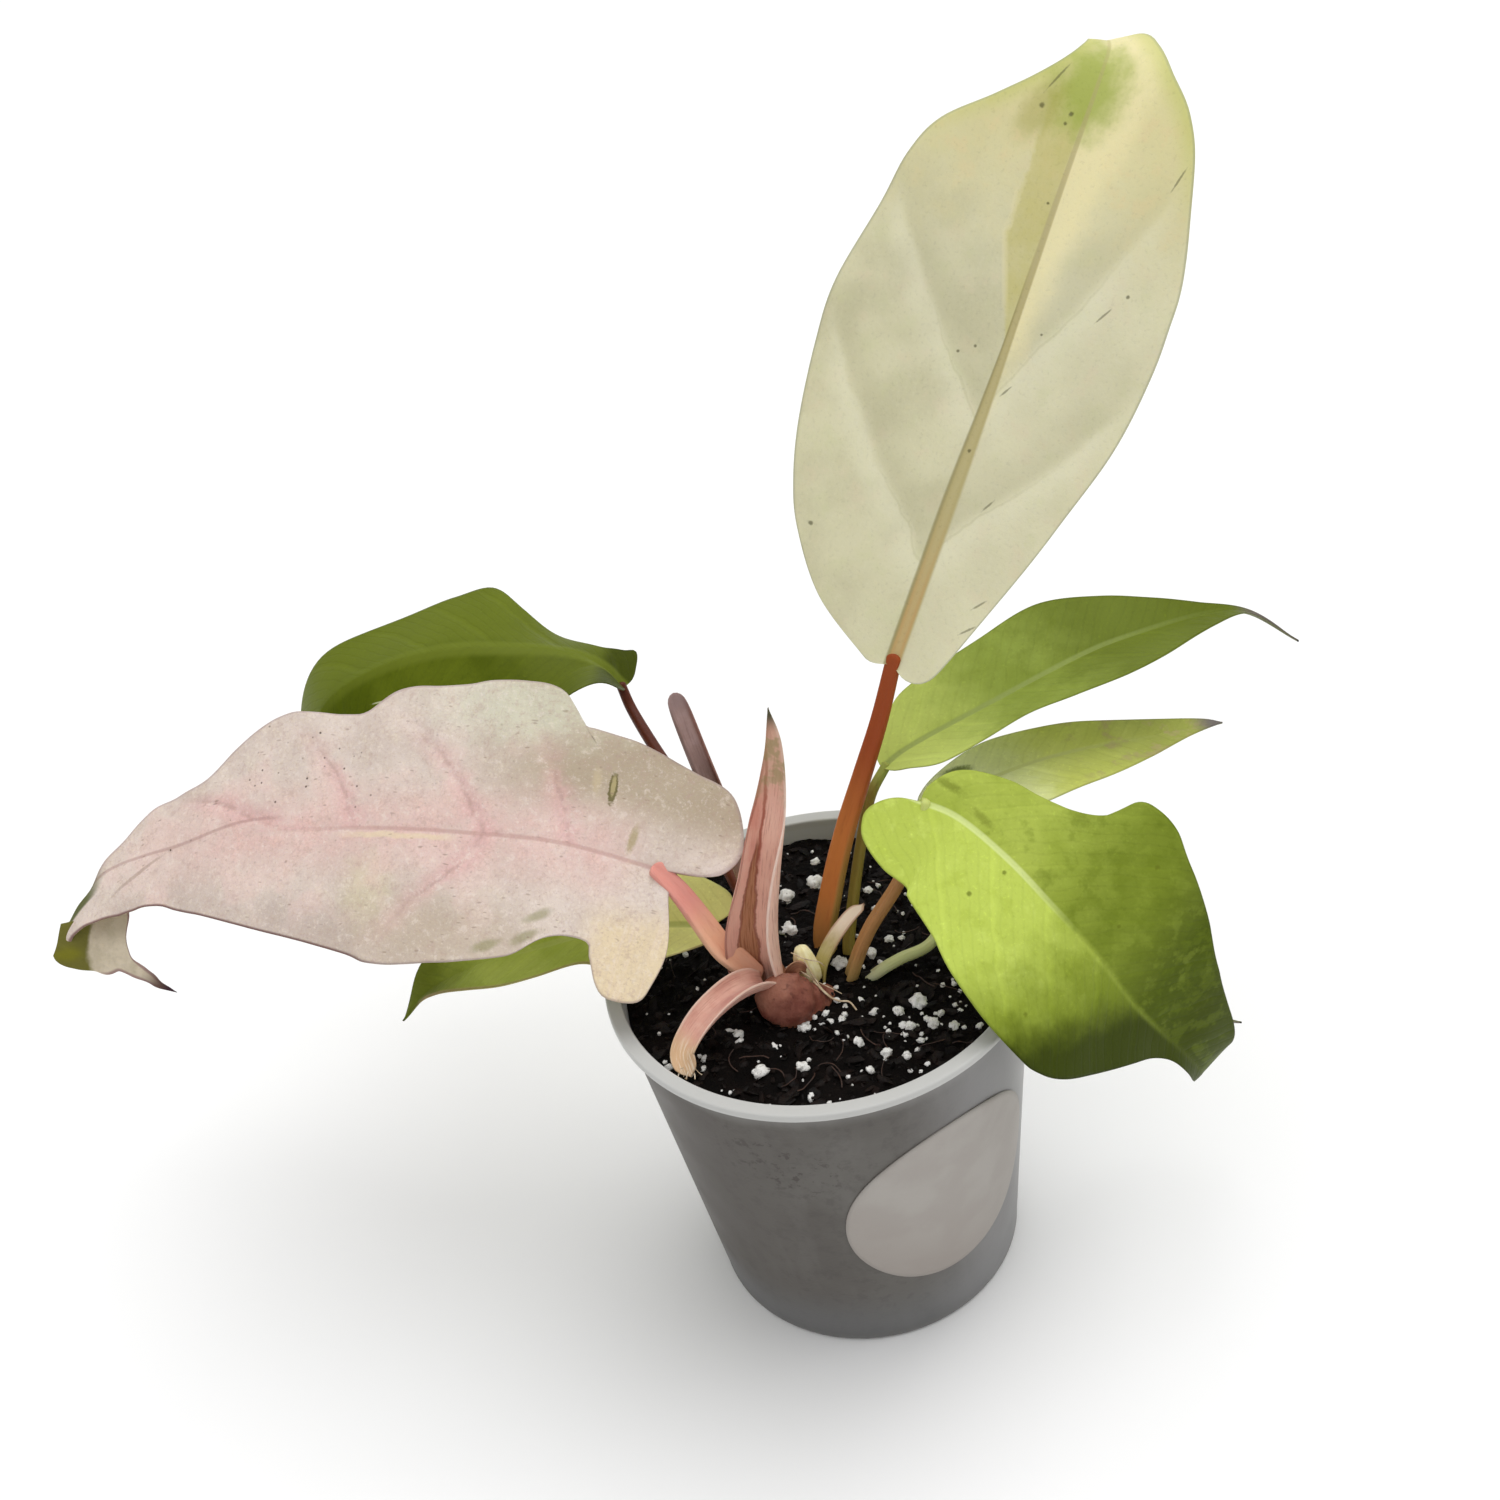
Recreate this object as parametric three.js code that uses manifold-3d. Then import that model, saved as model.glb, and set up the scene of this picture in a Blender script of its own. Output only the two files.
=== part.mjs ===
// A young variegated philodendron in a translucent nursery pot.
// Millimetres, +Z up. The origin is the middle of the pot's base. The view from -Y is the front.
import * as THREE from "three";
import { mergeVertices } from "three/addons/utils/BufferGeometryUtils.js";
import Module from "manifold-3d";

const wasm = await Module();
wasm.setup();

// Pot
const POT_HEIGHT = 90;
const RIM_RADIUS = 47.5;
const RIM_HEIGHT = 1.8;
const BODY_TOP_RADIUS = 45.4;
const BASE_RADIUS = 36;
const WALL = 1.2;
const FLOOR = 1.6;
const RIM_EDGE = 0.4;
const CORNER = 3;
const CORNER_CUT = 0.9;
const DRAIN_RADIUS = 3;
const DRAIN_CIRCLE = 22;
const DRAIN_COUNT = 6;
const DRAIN_SIDES = 16;
const POT_SIDES = 48;

// Round label on the pot's wall
const LABEL_RADIUS = 25.5;
const LABEL_THICK = 0.6;
const LABEL_HEIGHT = 46;
const LABEL_TURN = -62;
const LABEL_RINGS = 5;
const LABEL_SIDES = 32;

// Potting mix
const SOIL_EDGE = 84.5;
const SOIL_MIDDLE = 86;
const SOIL_ROUGHNESS = 0.5;
const SOIL_RINGS = [0.18, 0.36, 0.54, 0.7, 0.84, 0.94];
const SOIL_SIDES = 40;
const GRAIN_COUNT = 36;
const GRAIN_SMALLEST = 0.9;
const GRAIN_LARGEST = 1.9;
const GRAIN_REACH = 0.92;
const GRAIN_RISE = 0.25;
const GRAIN_FLATNESS = 0.8;

// Growth
const GAP = 0.3;
const BLADE_THICK = 0.7;
const KEEL = 0.8;
const SHEATH_THICK = 1;
const STALK_SIDES = 8;

// Fineness: where each rib of a blade has its points, how ribs close up, and steps for slopes
const RIB_PLACES = [0, 0.12, 0.4, 0.7, 1];
const RIB_PACE = 1.15;
const SQUARE_FROM = 4;
const STEP = 0.2;
const FLAT = 1e-5;

// Curves and the frames carried along them

const curve = (points) => new THREE.CatmullRomCurve3(points, false, "catmullrom", 0.5);
const space = ([x, y, z]) => new THREE.Vector3(x, y, z);
const radians = THREE.MathUtils.degToRad;

// Smooth value at a share (0 to 1) of equally spaced stations.
function valueAt(stations, share) {
  const last = stations.length - 1;
  const place = THREE.MathUtils.clamp(share, 0, 1) * last;
  const i = Math.min(Math.floor(place), last - 1);
  const t = place - i;
  const b = stations[i];
  const c = stations[i + 1];
  const a = i > 0 ? stations[i - 1] : 2 * b - c;
  const d = i + 2 <= last ? stations[i + 2] : 2 * c - b;
  const bend = 2 * a - 5 * b + 4 * c - d;
  const twist = 3 * b - a - 3 * c + d;
  return 0.5 * (2 * b + (c - a) * t + bend * t * t + twist * t * t * t);
}

// A space curve with an upper side: it gives the place, the direction and the upward normal at a length.
class Axis {
  static STEPS = 24;

  constructor(points, face) {
    const path = curve(points.map(space));
    const count = Axis.STEPS * (points.length - 1);
    this.places = path.getPoints(count);
    this.lengths = [0];
    for (let i = 1; i <= count; i++) {
      this.lengths.push(this.lengths[i - 1] + this.places[i].distanceTo(this.places[i - 1]));
    }
    this.length = this.lengths[count];
    const normal = space(face);
    this.ahead = this.places.map((_, i) => path.getTangent(i / count));
    this.up = this.ahead.map((ahead) => {
      normal.addScaledVector(ahead, -normal.dot(ahead)).normalize();
      return normal.clone();
    });
  }

  // Place in the tables, in steps, of an arc length.
  step(s) {
    const within = THREE.MathUtils.clamp(s, 0, this.length);
    let i = this.lengths.findIndex((length) => length >= within);
    i = Math.max(i, 1);
    return i - 1 + (within - this.lengths[i - 1]) / (this.lengths[i] - this.lengths[i - 1]);
  }

  // Share of the control points passed at an arc length.
  share(s) {
    return this.step(s) / (this.places.length - 1);
  }

  at(s) {
    const step = this.step(s);
    const i = Math.min(Math.floor(step), this.places.length - 2);
    const mix = (table) => table[i].clone().lerp(table[i + 1], step - i);
    const ahead = mix(this.ahead).normalize();
    const up = mix(this.up);
    up.addScaledVector(ahead, -up.dot(ahead)).normalize();
    const beyond = s - THREE.MathUtils.clamp(s, 0, this.length);
    return { place: mix(this.places).addScaledVector(ahead, beyond), ahead, up };
  }
}

// Blades: a flat outline, bent round its midrib, folded and cupped on each side

const LEVEL = [[0, 0], [0, 0]];

class Blade {
  constructor(form) {
    const { midrib, face, left, right, fold = LEVEL, cup = LEVEL, roll = [0, 0] } = form;
    const { lobe = 0.2, sweep = 1.2, pace = [1, 1], thick = BLADE_THICK, keel = KEEL, rows = 22 } = form;
    Object.assign(this, { fold, cup, roll, lobe, sweep, thick, keel, rows });
    this.axis = new Axis(midrib, face);
    this.length = this.axis.length;
    this.half = [left, right].map((points) => Math.max(...points.map((point) => point[1])));
    this.margins = [left, right].map((points, side) => {
      const path = curve(points.map(([x, y]) => new THREE.Vector3(x, y, 0)));
      path.arcLengthDivisions = 24 * points.length;
      return (t) => path.getPointAt(t ** pace[side]);
    });
  }

  // Upward and outward directions at a length along the midrib, with the roll applied.
  frame(x) {
    const { place, ahead, up } = this.axis.at(x);
    const roll = radians(valueAt(this.roll, this.axis.share(x)));
    const out = ahead.clone().cross(up);
    const rolledUp = up.clone().multiplyScalar(Math.cos(roll)).addScaledVector(out, Math.sin(roll));
    const rolledOut = out.multiplyScalar(Math.cos(roll)).addScaledVector(up, -Math.sin(roll));
    return { place, up: rolledUp, out: rolledOut };
  }

  // The point of the bent blade over the flat point x along and y out from the midrib.
  place(x, y, side) {
    const share = this.axis.share(x);
    const fold = radians(valueAt(this.fold.map((pair) => pair[side]), share));
    const cup = radians(valueAt(this.cup.map((pair) => pair[side]), share));
    const turn = (cup + FLAT) / this.half[side];
    const angle = fold + turn * y;
    const across = (Math.sin(angle) - Math.sin(fold)) / turn;
    const lift = (Math.cos(fold) - Math.cos(angle)) / turn;
    const { place, up, out } = this.frame(x);
    return place.addScaledVector(out, (side === 0 ? -1 : 1) * across).addScaledVector(up, lift);
  }

  // Direction of the blade's thickness: upward at the midrib, square to the blade further out.
  normal(x, y, side) {
    const { up } = this.frame(x);
    if (y === 0) {
      return up;
    }
    const along = this.place(x + STEP, y, side).sub(this.place(x - STEP, y, side));
    const out = this.place(x, y + STEP, side).sub(this.place(x, y - STEP, side));
    const square = out.cross(along).normalize().multiplyScalar(side === 0 ? -1 : 1);
    return up.lerp(square, Math.min(1, y / SQUARE_FROM)).normalize();
  }

  // One rib from the left margin over the midrib to the right margin, as flat points.
  rib(t) {
    const s = this.length * Math.max(0, (t - this.lobe) / (1 - this.lobe)) ** RIB_PACE;
    const half = (side) => {
      const edge = this.margins[side](t);
      return RIB_PLACES.map((v) => ({ x: s + (edge.x - s) * v ** this.sweep, y: edge.y * v, v, side }));
    };
    return [...half(0).reverse(), ...half(1).slice(1)];
  }

  // The closed solid, with its faces moved out by extra.
  solid(extra = 0) {
    const positions = [];
    for (const way of [1, -1]) {
      for (let i = 1; i <= this.rows; i++) {
        for (const { x, y, v, side } of this.rib(i / this.rows)) {
          const tip = i === this.rows;
          const along = tip ? this.length + extra : x;
          const reach = tip ? 0 : y + (v === 1 ? extra : 0);
          const keel = way < 0 && v === 0 ? this.keel * Math.max(0, 1 - along / this.length) : 0;
          const point = this.place(along, reach, side);
          const depth = this.thick / 2 + keel + extra;
          positions.push(point.addScaledVector(this.normal(along, reach, side), way * depth));
        }
      }
    }
    const width = 2 * RIB_PLACES.length - 1;
    const layer = this.rows * width;
    const faces = [];
    const quad = (a, b, c, d) => faces.push([a, b, c], [a, c, d]);
    for (let i = 0; i < this.rows - 1; i++) {
      const left = i * width;
      const right = left + width - 1;
      for (let a = left; a < right; a++) {
        const d = a + width;
        quad(a, a + 1, d + 1, d);
        faces.push([layer + a, layer + d + 1, layer + a + 1], [layer + a, layer + d, layer + d + 1]);
      }
      quad(left, left + width, layer + left + width, layer + left);
      quad(right + width, right, layer + right, layer + right + width);
    }
    for (let a = 0; a < width - 1; a++) {
      quad(a + 1, a, layer + a, layer + a + 1);
    }
    const tip = layer - width;
    for (let a = tip; a < layer - 1; a++) {
      quad(a, a + 1, layer + a + 1, layer + a);
    }
    return closed(positions, faces);
  }
}

// Solids

// A solid from corners and triangles. Corners at one place are joined, and triangles without area dropped.
function closed(positions, faces) {
  const kept = faces.filter(([a, b, c]) => {
    const [p, q, r] = [positions[a], positions[b], positions[c]];
    return p.distanceTo(q) > 1e-3 && q.distanceTo(r) > 1e-3 && r.distanceTo(p) > 1e-3;
  });
  const geometry = new THREE.BufferGeometry().setFromPoints(positions);
  geometry.setIndex(kept.flat());
  return solidOf(geometry);
}

function solidOf(geometry) {
  const bare = geometry.clone();
  bare.deleteAttribute("normal");
  bare.deleteAttribute("uv");
  const merged = mergeVertices(bare, 1e-3);
  const triVerts = new Uint32Array(merged.index.array);
  const vertProperties = merged.attributes.position.array;
  const solid = new wasm.Manifold(new wasm.Mesh({ numProp: 3, vertProperties, triVerts }));
  if (solid.volume() > 0) {
    return solid;
  }
  for (let i = 0; i < triVerts.length; i += 3) {
    [triVerts[i + 1], triVerts[i + 2]] = [triVerts[i + 2], triVerts[i + 1]];
  }
  return new wasm.Manifold(new wasm.Mesh({ numProp: 3, vertProperties, triVerts }));
}

function geometryOf(solid) {
  const { numProp, numVert, vertProperties, triVerts } = solid.getMesh();
  const points = [];
  for (let i = 0; i < numVert; i++) {
    points.push(new THREE.Vector3().fromArray(vertProperties, i * numProp));
  }
  const geometry = new THREE.BufferGeometry().setFromPoints(points);
  geometry.setIndex(Array.from(triVerts));
  geometry.computeVertexNormals();
  return geometry;
}

// A solid without its neighbours' room, and without scraps cut off it.
function clearOf(solid, neighbours) {
  const cut = neighbours.reduce((rest, neighbour) => rest.subtract(neighbour), solid);
  const bodies = cut.decompose();
  return bodies.reduce((best, body) => (body.volume() > best.volume() ? body : best));
}

// A stalk: rings round a curve, flat-topped where crown is under 1, closed at both ends.
class Stalk {
  constructor({ points, radii, face = [0, 0, 1], crown = 1, sides = STALK_SIDES, rings = 2 }) {
    this.axis = new Axis(points, face);
    this.radii = radii;
    this.crown = crown;
    this.sides = sides;
    this.rings = rings * (points.length - 1);
  }

  solid(extra = 0) {
    const positions = [];
    for (let i = 0; i <= this.rings; i++) {
      const end = i === 0 ? -extra : i === this.rings ? extra : 0;
      const s = (this.axis.length * i) / this.rings;
      const { place, ahead, up } = this.axis.at(s + end);
      const out = ahead.clone().cross(up);
      const radius = valueAt(this.radii, this.axis.share(s)) + extra;
      for (let j = 0; j < this.sides; j++) {
        const angle = (2 * Math.PI * j) / this.sides;
        const height = Math.min(Math.sin(angle), this.crown);
        const point = place.clone().addScaledVector(out, radius * Math.cos(angle));
        positions.push(point.addScaledVector(up, radius * height));
      }
    }
    const faces = [];
    for (let i = 0; i < this.rings; i++) {
      for (let j = 0; j < this.sides; j++) {
        const a = i * this.sides + j;
        const b = i * this.sides + ((j + 1) % this.sides);
        faces.push([a, b, b + this.sides], [a, b + this.sides, a + this.sides]);
      }
    }
    const last = this.rings * this.sides;
    for (let j = 1; j < this.sides - 1; j++) {
      faces.push([0, j + 1, j], [last, last + j, last + j + 1]);
    }
    return closed(positions, faces);
  }
}

// Seeded random draws, the same on every run.
function randomSource(seed) {
  let state = seed;
  return () => {
    state = (state * 1664525 + 1013904223) % 4294967296;
    return state / 4294967296;
  };
}

// Pot, label and potting mix

const wallRadius = (z) => BASE_RADIUS + ((BODY_TOP_RADIUS - BASE_RADIUS) * z) / POT_HEIGHT;

function lathe(profile, sides) {
  const points = profile.map(([x, y]) => new THREE.Vector2(x, y));
  return new THREE.LatheGeometry(points, sides).rotateX(Math.PI / 2);
}

function potSolid() {
  const under = POT_HEIGHT - RIM_HEIGHT;
  const profile = [
    [0, 0],
    [BASE_RADIUS - CORNER, 0],
    [BASE_RADIUS - CORNER_CUT, CORNER_CUT],
    [wallRadius(CORNER), CORNER],
    [wallRadius(under), under],
    [RIM_RADIUS - RIM_EDGE, under],
    [RIM_RADIUS, under + RIM_EDGE],
    [RIM_RADIUS, POT_HEIGHT - RIM_EDGE],
    [RIM_RADIUS - RIM_EDGE, POT_HEIGHT],
    [wallRadius(POT_HEIGHT) - WALL + RIM_EDGE, POT_HEIGHT],
    [wallRadius(under) - WALL, under],
    [wallRadius(CORNER) - WALL, CORNER + WALL / 2],
    [BASE_RADIUS - CORNER, FLOOR],
    [0, FLOOR],
  ];
  let pot = solidOf(lathe(profile, POT_SIDES));
  for (let i = 0; i < DRAIN_COUNT; i++) {
    const angle = (2 * Math.PI * i) / DRAIN_COUNT;
    const drill = new THREE.CylinderGeometry(DRAIN_RADIUS, DRAIN_RADIUS, 4 * FLOOR, DRAIN_SIDES);
    drill.rotateX(Math.PI / 2);
    drill.translate(DRAIN_CIRCLE * Math.cos(angle), DRAIN_CIRCLE * Math.sin(angle), 0);
    pot = pot.subtract(solidOf(drill));
  }
  return pot;
}

// A disc of paper that follows the wall. Its middle is LABEL_TURN degrees round from +X.
function labelSolid() {
  const positions = [];
  for (const layer of [1, 0]) {
    for (let i = 0; i <= LABEL_RINGS; i++) {
      const reach = (LABEL_RADIUS * i) / LABEL_RINGS;
      for (let j = 0; j < LABEL_SIDES; j++) {
        const angle = (2 * Math.PI * j) / LABEL_SIDES;
        const z = LABEL_HEIGHT + reach * Math.sin(angle);
        const inner = wallRadius(z) + GAP;
        const turn = radians(LABEL_TURN) + (reach * Math.cos(angle)) / inner;
        const radius = inner + layer * LABEL_THICK;
        positions.push(new THREE.Vector3(radius * Math.cos(turn), radius * Math.sin(turn), z));
      }
    }
  }
  const layer = (LABEL_RINGS + 1) * LABEL_SIDES;
  const faces = [];
  for (let i = 0; i < LABEL_RINGS; i++) {
    for (let j = 0; j < LABEL_SIDES; j++) {
      const a = i * LABEL_SIDES + j;
      const b = i * LABEL_SIDES + ((j + 1) % LABEL_SIDES);
      const [c, d] = [a + LABEL_SIDES, b + LABEL_SIDES];
      faces.push([a, d, b], [a, c, d]);
      faces.push([layer + a, layer + b, layer + d], [layer + a, layer + d, layer + c]);
    }
  }
  for (let j = 0; j < LABEL_SIDES; j++) {
    const a = layer - LABEL_SIDES + j;
    const b = layer - LABEL_SIDES + ((j + 1) % LABEL_SIDES);
    faces.push([a, layer + a, layer + b], [a, layer + b, b]);
  }
  return closed(positions, faces);
}

// The mix fills the pot to a slightly domed, crumbly top with white perlite grains set in it.
function soilSolid() {
  const random = randomSource(7);
  const innerWall = (z) => wallRadius(z) - WALL - GAP;
  const positions = [new THREE.Vector3(0, 0, SOIL_MIDDLE)];
  const topRadius = innerWall(SOIL_EDGE);
  const heightAt = (share) => SOIL_EDGE + (SOIL_MIDDLE - SOIL_EDGE) * (1 - share ** 2);
  const addRing = (radius, heightOf) => {
    for (let j = 0; j < SOIL_SIDES; j++) {
      const angle = (2 * Math.PI * j) / SOIL_SIDES;
      positions.push(new THREE.Vector3(radius * Math.cos(angle), radius * Math.sin(angle), heightOf()));
    }
  };
  for (const share of SOIL_RINGS) {
    addRing(topRadius * share, () => heightAt(share) + SOIL_ROUGHNESS * (2 * random() - 1));
  }
  const floor = FLOOR + GAP;
  addRing(topRadius, () => SOIL_EDGE);
  addRing(innerWall(CORNER + 1), () => CORNER + 1);
  addRing(BASE_RADIUS - CORNER - 1, () => floor);
  positions.push(new THREE.Vector3(0, 0, floor));
  const faces = [];
  const rings = SOIL_RINGS.length + 3;
  for (let j = 0; j < SOIL_SIDES; j++) {
    const next = (j + 1) % SOIL_SIDES;
    const last = 1 + (rings - 1) * SOIL_SIDES;
    faces.push([0, 1 + j, 1 + next]);
    faces.push([positions.length - 1, last + next, last + j]);
    for (let i = 0; i < rings - 1; i++) {
      const a = 1 + i * SOIL_SIDES + j;
      const b = 1 + i * SOIL_SIDES + next;
      faces.push([a, a + SOIL_SIDES, b + SOIL_SIDES], [a, b + SOIL_SIDES, b]);
    }
  }
  let soil = closed(positions, faces);
  for (let i = 0; i < GRAIN_COUNT; i++) {
    const share = GRAIN_REACH * Math.sqrt(random());
    const angle = 2 * Math.PI * random();
    const size = GRAIN_SMALLEST + (GRAIN_LARGEST - GRAIN_SMALLEST) * random() ** 2;
    const grain = new THREE.OctahedronGeometry(size, 0);
    grain.rotateX(2 * Math.PI * random()).rotateY(2 * Math.PI * random()).scale(1, 1, GRAIN_FLATNESS);
    const radius = topRadius * share;
    const height = heightAt(share) + GRAIN_RISE * size;
    grain.translate(radius * Math.cos(angle), radius * Math.sin(angle), height);
    soil = soil.add(solidOf(grain));
  }
  return soil;
}

// Leaves: each outline is flat and runs from the sinus by the margin to the tip. Its points are the
// length along the midrib and the breadth out from it.

// The tall cream blade, upright with its upper face to the front. Its tip curls back.
const creamBlade = new Blade({
  midrib: [
    [26, 20, 146], [41, 30, 171], [57, 41, 197], [72, 51, 223], [83, 59, 241], [88, 66, 247],
    [89, 74, 246], [88, 81, 240],
  ],
  face: [-0.37, -0.81, 0.44],
  left: [
    [0, 0], [-1, 4], [0, 7], [8, 19], [20, 28], [29, 32], [41, 35], [57, 37], [70, 37], [87, 33],
    [97, 31], [105, 27], [113, 18], [122, 9], [129, 5], [137, 3], [146, 0],
  ],
  right: [
    [0, 0], [-2, 4], [-1, 8], [4, 11], [21, 17], [38, 23], [54, 28], [70, 30], [80, 30], [90, 29],
    [109, 24], [118, 19], [124, 13], [130, 8], [137, 4], [146, 0],
  ],
  fold: [[6, 4], [6, 4]],
  cup: [[8, 8], [8, 8]],
  lobe: 0.12,
  sweep: 1.3,
});

// The pink blade reaches out to the left, as far as the fold at its tip.
const pinkBlade = new Blade({
  midrib: [
    [-30, 5, 116], [-50, 14, 121], [-70, 21, 123], [-91, 29, 123], [-113, 37, 121],
    [-131, 43, 118], [-144, 46, 114], [-155.2, 46.9, 109.9], [-160, 46.8, 108],
    [-164.3, 46, 105.7], [-168.4, 44.6, 103], [-171.4, 42.8, 100.5], [-172.6, 41.5, 98.8],
    [-173.2, 40.5, 97],
  ],
  face: [0.18, -0.68, 0.71],
  left: [
    [0, 0], [-3, 3], [-4, 6], [-7, 16], [-6, 24], [-4, 28], [2, 29], [5, 27], [8, 22], [10, 19],
    [19, 20], [31, 26], [49, 29], [62, 30], [70, 28], [96, 22], [117, 16], [127, 11.5], [135, 9.4],
    [140, 8.4], [145, 6.8], [150, 4.8], [154, 2.6], [157, 1.2], [159.1, 0],
  ],
  right: [
    [0, 0], [-9, 1], [-14, 3], [-16, 9], [-11, 19], [-2, 22], [11, 25], [21, 26], [24, 27],
    [29, 34], [40, 35], [56, 33], [65, 32], [72, 27], [79, 27], [92, 28], [99, 25], [105, 21],
    [111, 15], [118, 13], [126, 12], [133, 9.5], [140, 5.5], [145, 2.4], [150, 1.2], [155, 0.9],
    [159.1, 0],
  ],
  pace: [1, 1.05],
  lobe: 0.3,
  rows: 32,
});

// The tip of the pink blade, folded under and back. It shows its underside.
const pinkTip = new Blade({
  midrib: [
    [-175.2, 40.7, 98.2], [-173.4, 40.2, 97], [-171.6, 39.8, 95.4], [-169.2, 39.3, 93.9],
    [-165.2, 38.2, 92.9], [-160.7, 36.4, 92.4], [-156.4, 33.8, 91.2], [-152.2, 30.7, 89.5],
    [-147.8, 27.9, 88],
  ],
  face: [-0.02, 0.81, -0.59],
  left: [
    [0, 2.2], [1.4, 3.4], [3.6, 3.9], [6.5, 3.2], [10, 2.7], [13, 3.2], [16.5, 1.8], [21, 1.8],
    [27, 1.1], [32.8, 0],
  ],
  right: [
    [-1.6, 4.6], [1.2, 6.6], [4.2, 8.4], [8.4, 10.4], [12.6, 12.6], [15.3, 13.4], [16, 11.8],
    [16.3, 8], [16.9, 4.8], [18.4, 2.6], [21, 1.6], [26, 1.1], [32.8, 0],
  ],
  cup: [[5, 5], [5, 5]],
  keel: 0,
  lobe: 0,
  sweep: 1,
  rows: 14,
});

const pinkLeaf = { solid: (extra = 0) => pinkBlade.solid(extra).add(pinkTip.solid(extra)) };

// The dark green blade at the back left arches over from its stalk, with its base folded up.
const darkBlade = new Blade({
  midrib: [
    [-34, 68, 121], [-38, 70, 127], [-46, 72, 132], [-61, 74, 135], [-75, 76, 136], [-90, 77, 134],
    [-103, 76, 129], [-110, 74, 121], [-112, 71, 111],
  ],
  face: [0.6, -0.3, 0.75],
  left: [[0, 0], [0, 3], [2, 8], [6, 13], [14, 18], [30, 22], [50, 21], [70, 16], [88, 8], [101, 0]],
  right: [
    [0, 0], [-0.5, 4], [0.5, 8], [3, 12.5], [5.5, 9.5], [10, 7], [19, 9.5], [29, 18], [38, 25.5],
    [46, 22], [56, 18.5], [66, 17], [78, 16], [88, 12], [96, 5], [101, 0],
  ],
  fold: [[40, 0], [30, -10], [-5, -25], [-20, -12], [-25, -8], [-25, -8], [-25, 0], [-20, 0], [0, 0]],
  pace: [1, 1.3],
});

// The small bright blade low at the left, under the pink one, lies over the rim.
const lowBlade = new Blade({
  midrib: [
    [-22, 6, 97], [-33, 9, 97], [-47, 12, 96], [-61, 14, 93], [-75, 16, 90], [-88, 16, 85],
    [-96, 14, 79],
  ],
  face: [0.1, -0.3, 0.95],
  left: [
    [0, 0], [-3, 3], [1, 7], [10, 12], [20, 13], [29, 10], [39, 11], [48, 11], [58, 8], [67, 4],
    [73, 1], [79, 0],
  ],
  right: [[0, 0], [-4, 3], [-3, 8], [8, 13], [25, 16], [45, 14], [60, 10], [68, 8], [74, 3], [79, 0]],
  fold: [[20, 10], [20, 10]],
  rows: 18,
});

// The long narrow blade at the upper right ends in a thin drip tip.
const lanceBlade = new Blade({
  midrib: [
    [21, 20, 120], [28, 23, 122], [47, 29, 125], [69, 36, 128], [82, 40, 128], [98, 44, 127],
    [109, 46, 124], [121, 47, 113],
  ],
  face: [0, -0.05, 1],
  left: [
    [0, 0], [0, 2], [3, 5], [7, 9], [13, 13], [24, 15], [35, 16], [50, 17], [63, 13], [73, 8], [85, 3],
    [94, 1], [110, 0],
  ],
  right: [
    [0, 0], [0, 2], [2, 6], [9, 12], [20, 13], [32, 12], [42, 14], [53, 17], [63, 15], [76, 9],
    [87, 4], [95, 1], [110, 0],
  ],
  fold: [[16, 16], [16, 16]],
  lobe: 0.12,
});

// The slim yellow-green blade at the right, behind the broad one.
const slimBlade = new Blade({
  midrib: [[34, 17, 110], [46, 20, 112], [60, 23, 112], [80, 25, 111], [97, 26, 110]],
  face: [0, -0.05, 1],
  left: [[0, 0], [-4, 1], [-6, 4], [0, 8], [11, 10], [20, 10], [30, 9], [39, 7], [49, 5], [60, 2], [64, 0]],
  right: [[0, 0], [-4, 3], [-2, 8], [6, 13], [16, 15], [31, 13], [45, 8], [56, 3], [64, 0]],
  fold: [[8, 8], [8, 8]],
  lobe: 0.15,
  rows: 16,
});

// The broad yellow-green blade hangs over the rim at the right front, with its tip turned under.
const broadBlade = new Blade({
  midrib: [
    [26, 0, 125], [33, -4, 122], [41, -11, 115], [48, -17, 106], [56, -22, 94], [63, -23, 79],
    [69, -22, 68], [75, -20, 57], [79, -16, 47], [81, -9, 42], [83, -3, 42], [87, -1, 45],
    [92, -3, 46],
  ],
  face: [0.1, -0.75, 0.65],
  left: [
    [0, 0], [0.5, 4], [5, 9], [12, 12.5], [18, 14], [24, 16.5], [29, 21], [31.5, 27.5], [36, 29.5],
    [42, 29.5], [49, 27], [64, 23], [78, 18], [90, 14], [100, 11], [109, 7], [116, 3.5], [123, 1.2],
    [129.5, 0],
  ],
  right: [
    [0, 0], [-4, 1], [-7, 3], [-9, 6], [-9, 9], [-7, 13], [-1, 17], [8, 20], [19, 23], [28, 26],
    [39, 28], [48, 28], [54, 27], [61, 23], [74, 10], [84, 4], [94, 3], [104, 3], [112, 2.5],
    [120, 1.5], [129.5, 0],
  ],
  fold: [
    [0, 18], [0, 18], [0, 18], [0, 18], [0, 18], [0, 18], [0, 15], [0, 10], [0, 0], [0, 0], [0, 0],
    [0, 0], [0, 0],
  ],
  lobe: 0.2,
  pace: [1.3, 1],
  rows: 30,
});

// Sheaths: the scale leaves round each shoot, rolled lengthwise like a gutter

function sheath({ midrib, face, left, right = left, cup, rows }) {
  const plain = { thick: SHEATH_THICK, keel: 0, lobe: 0, sweep: 1 };
  return new Blade({ midrib, face, left, right, cup, rows, ...plain });
}

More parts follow.
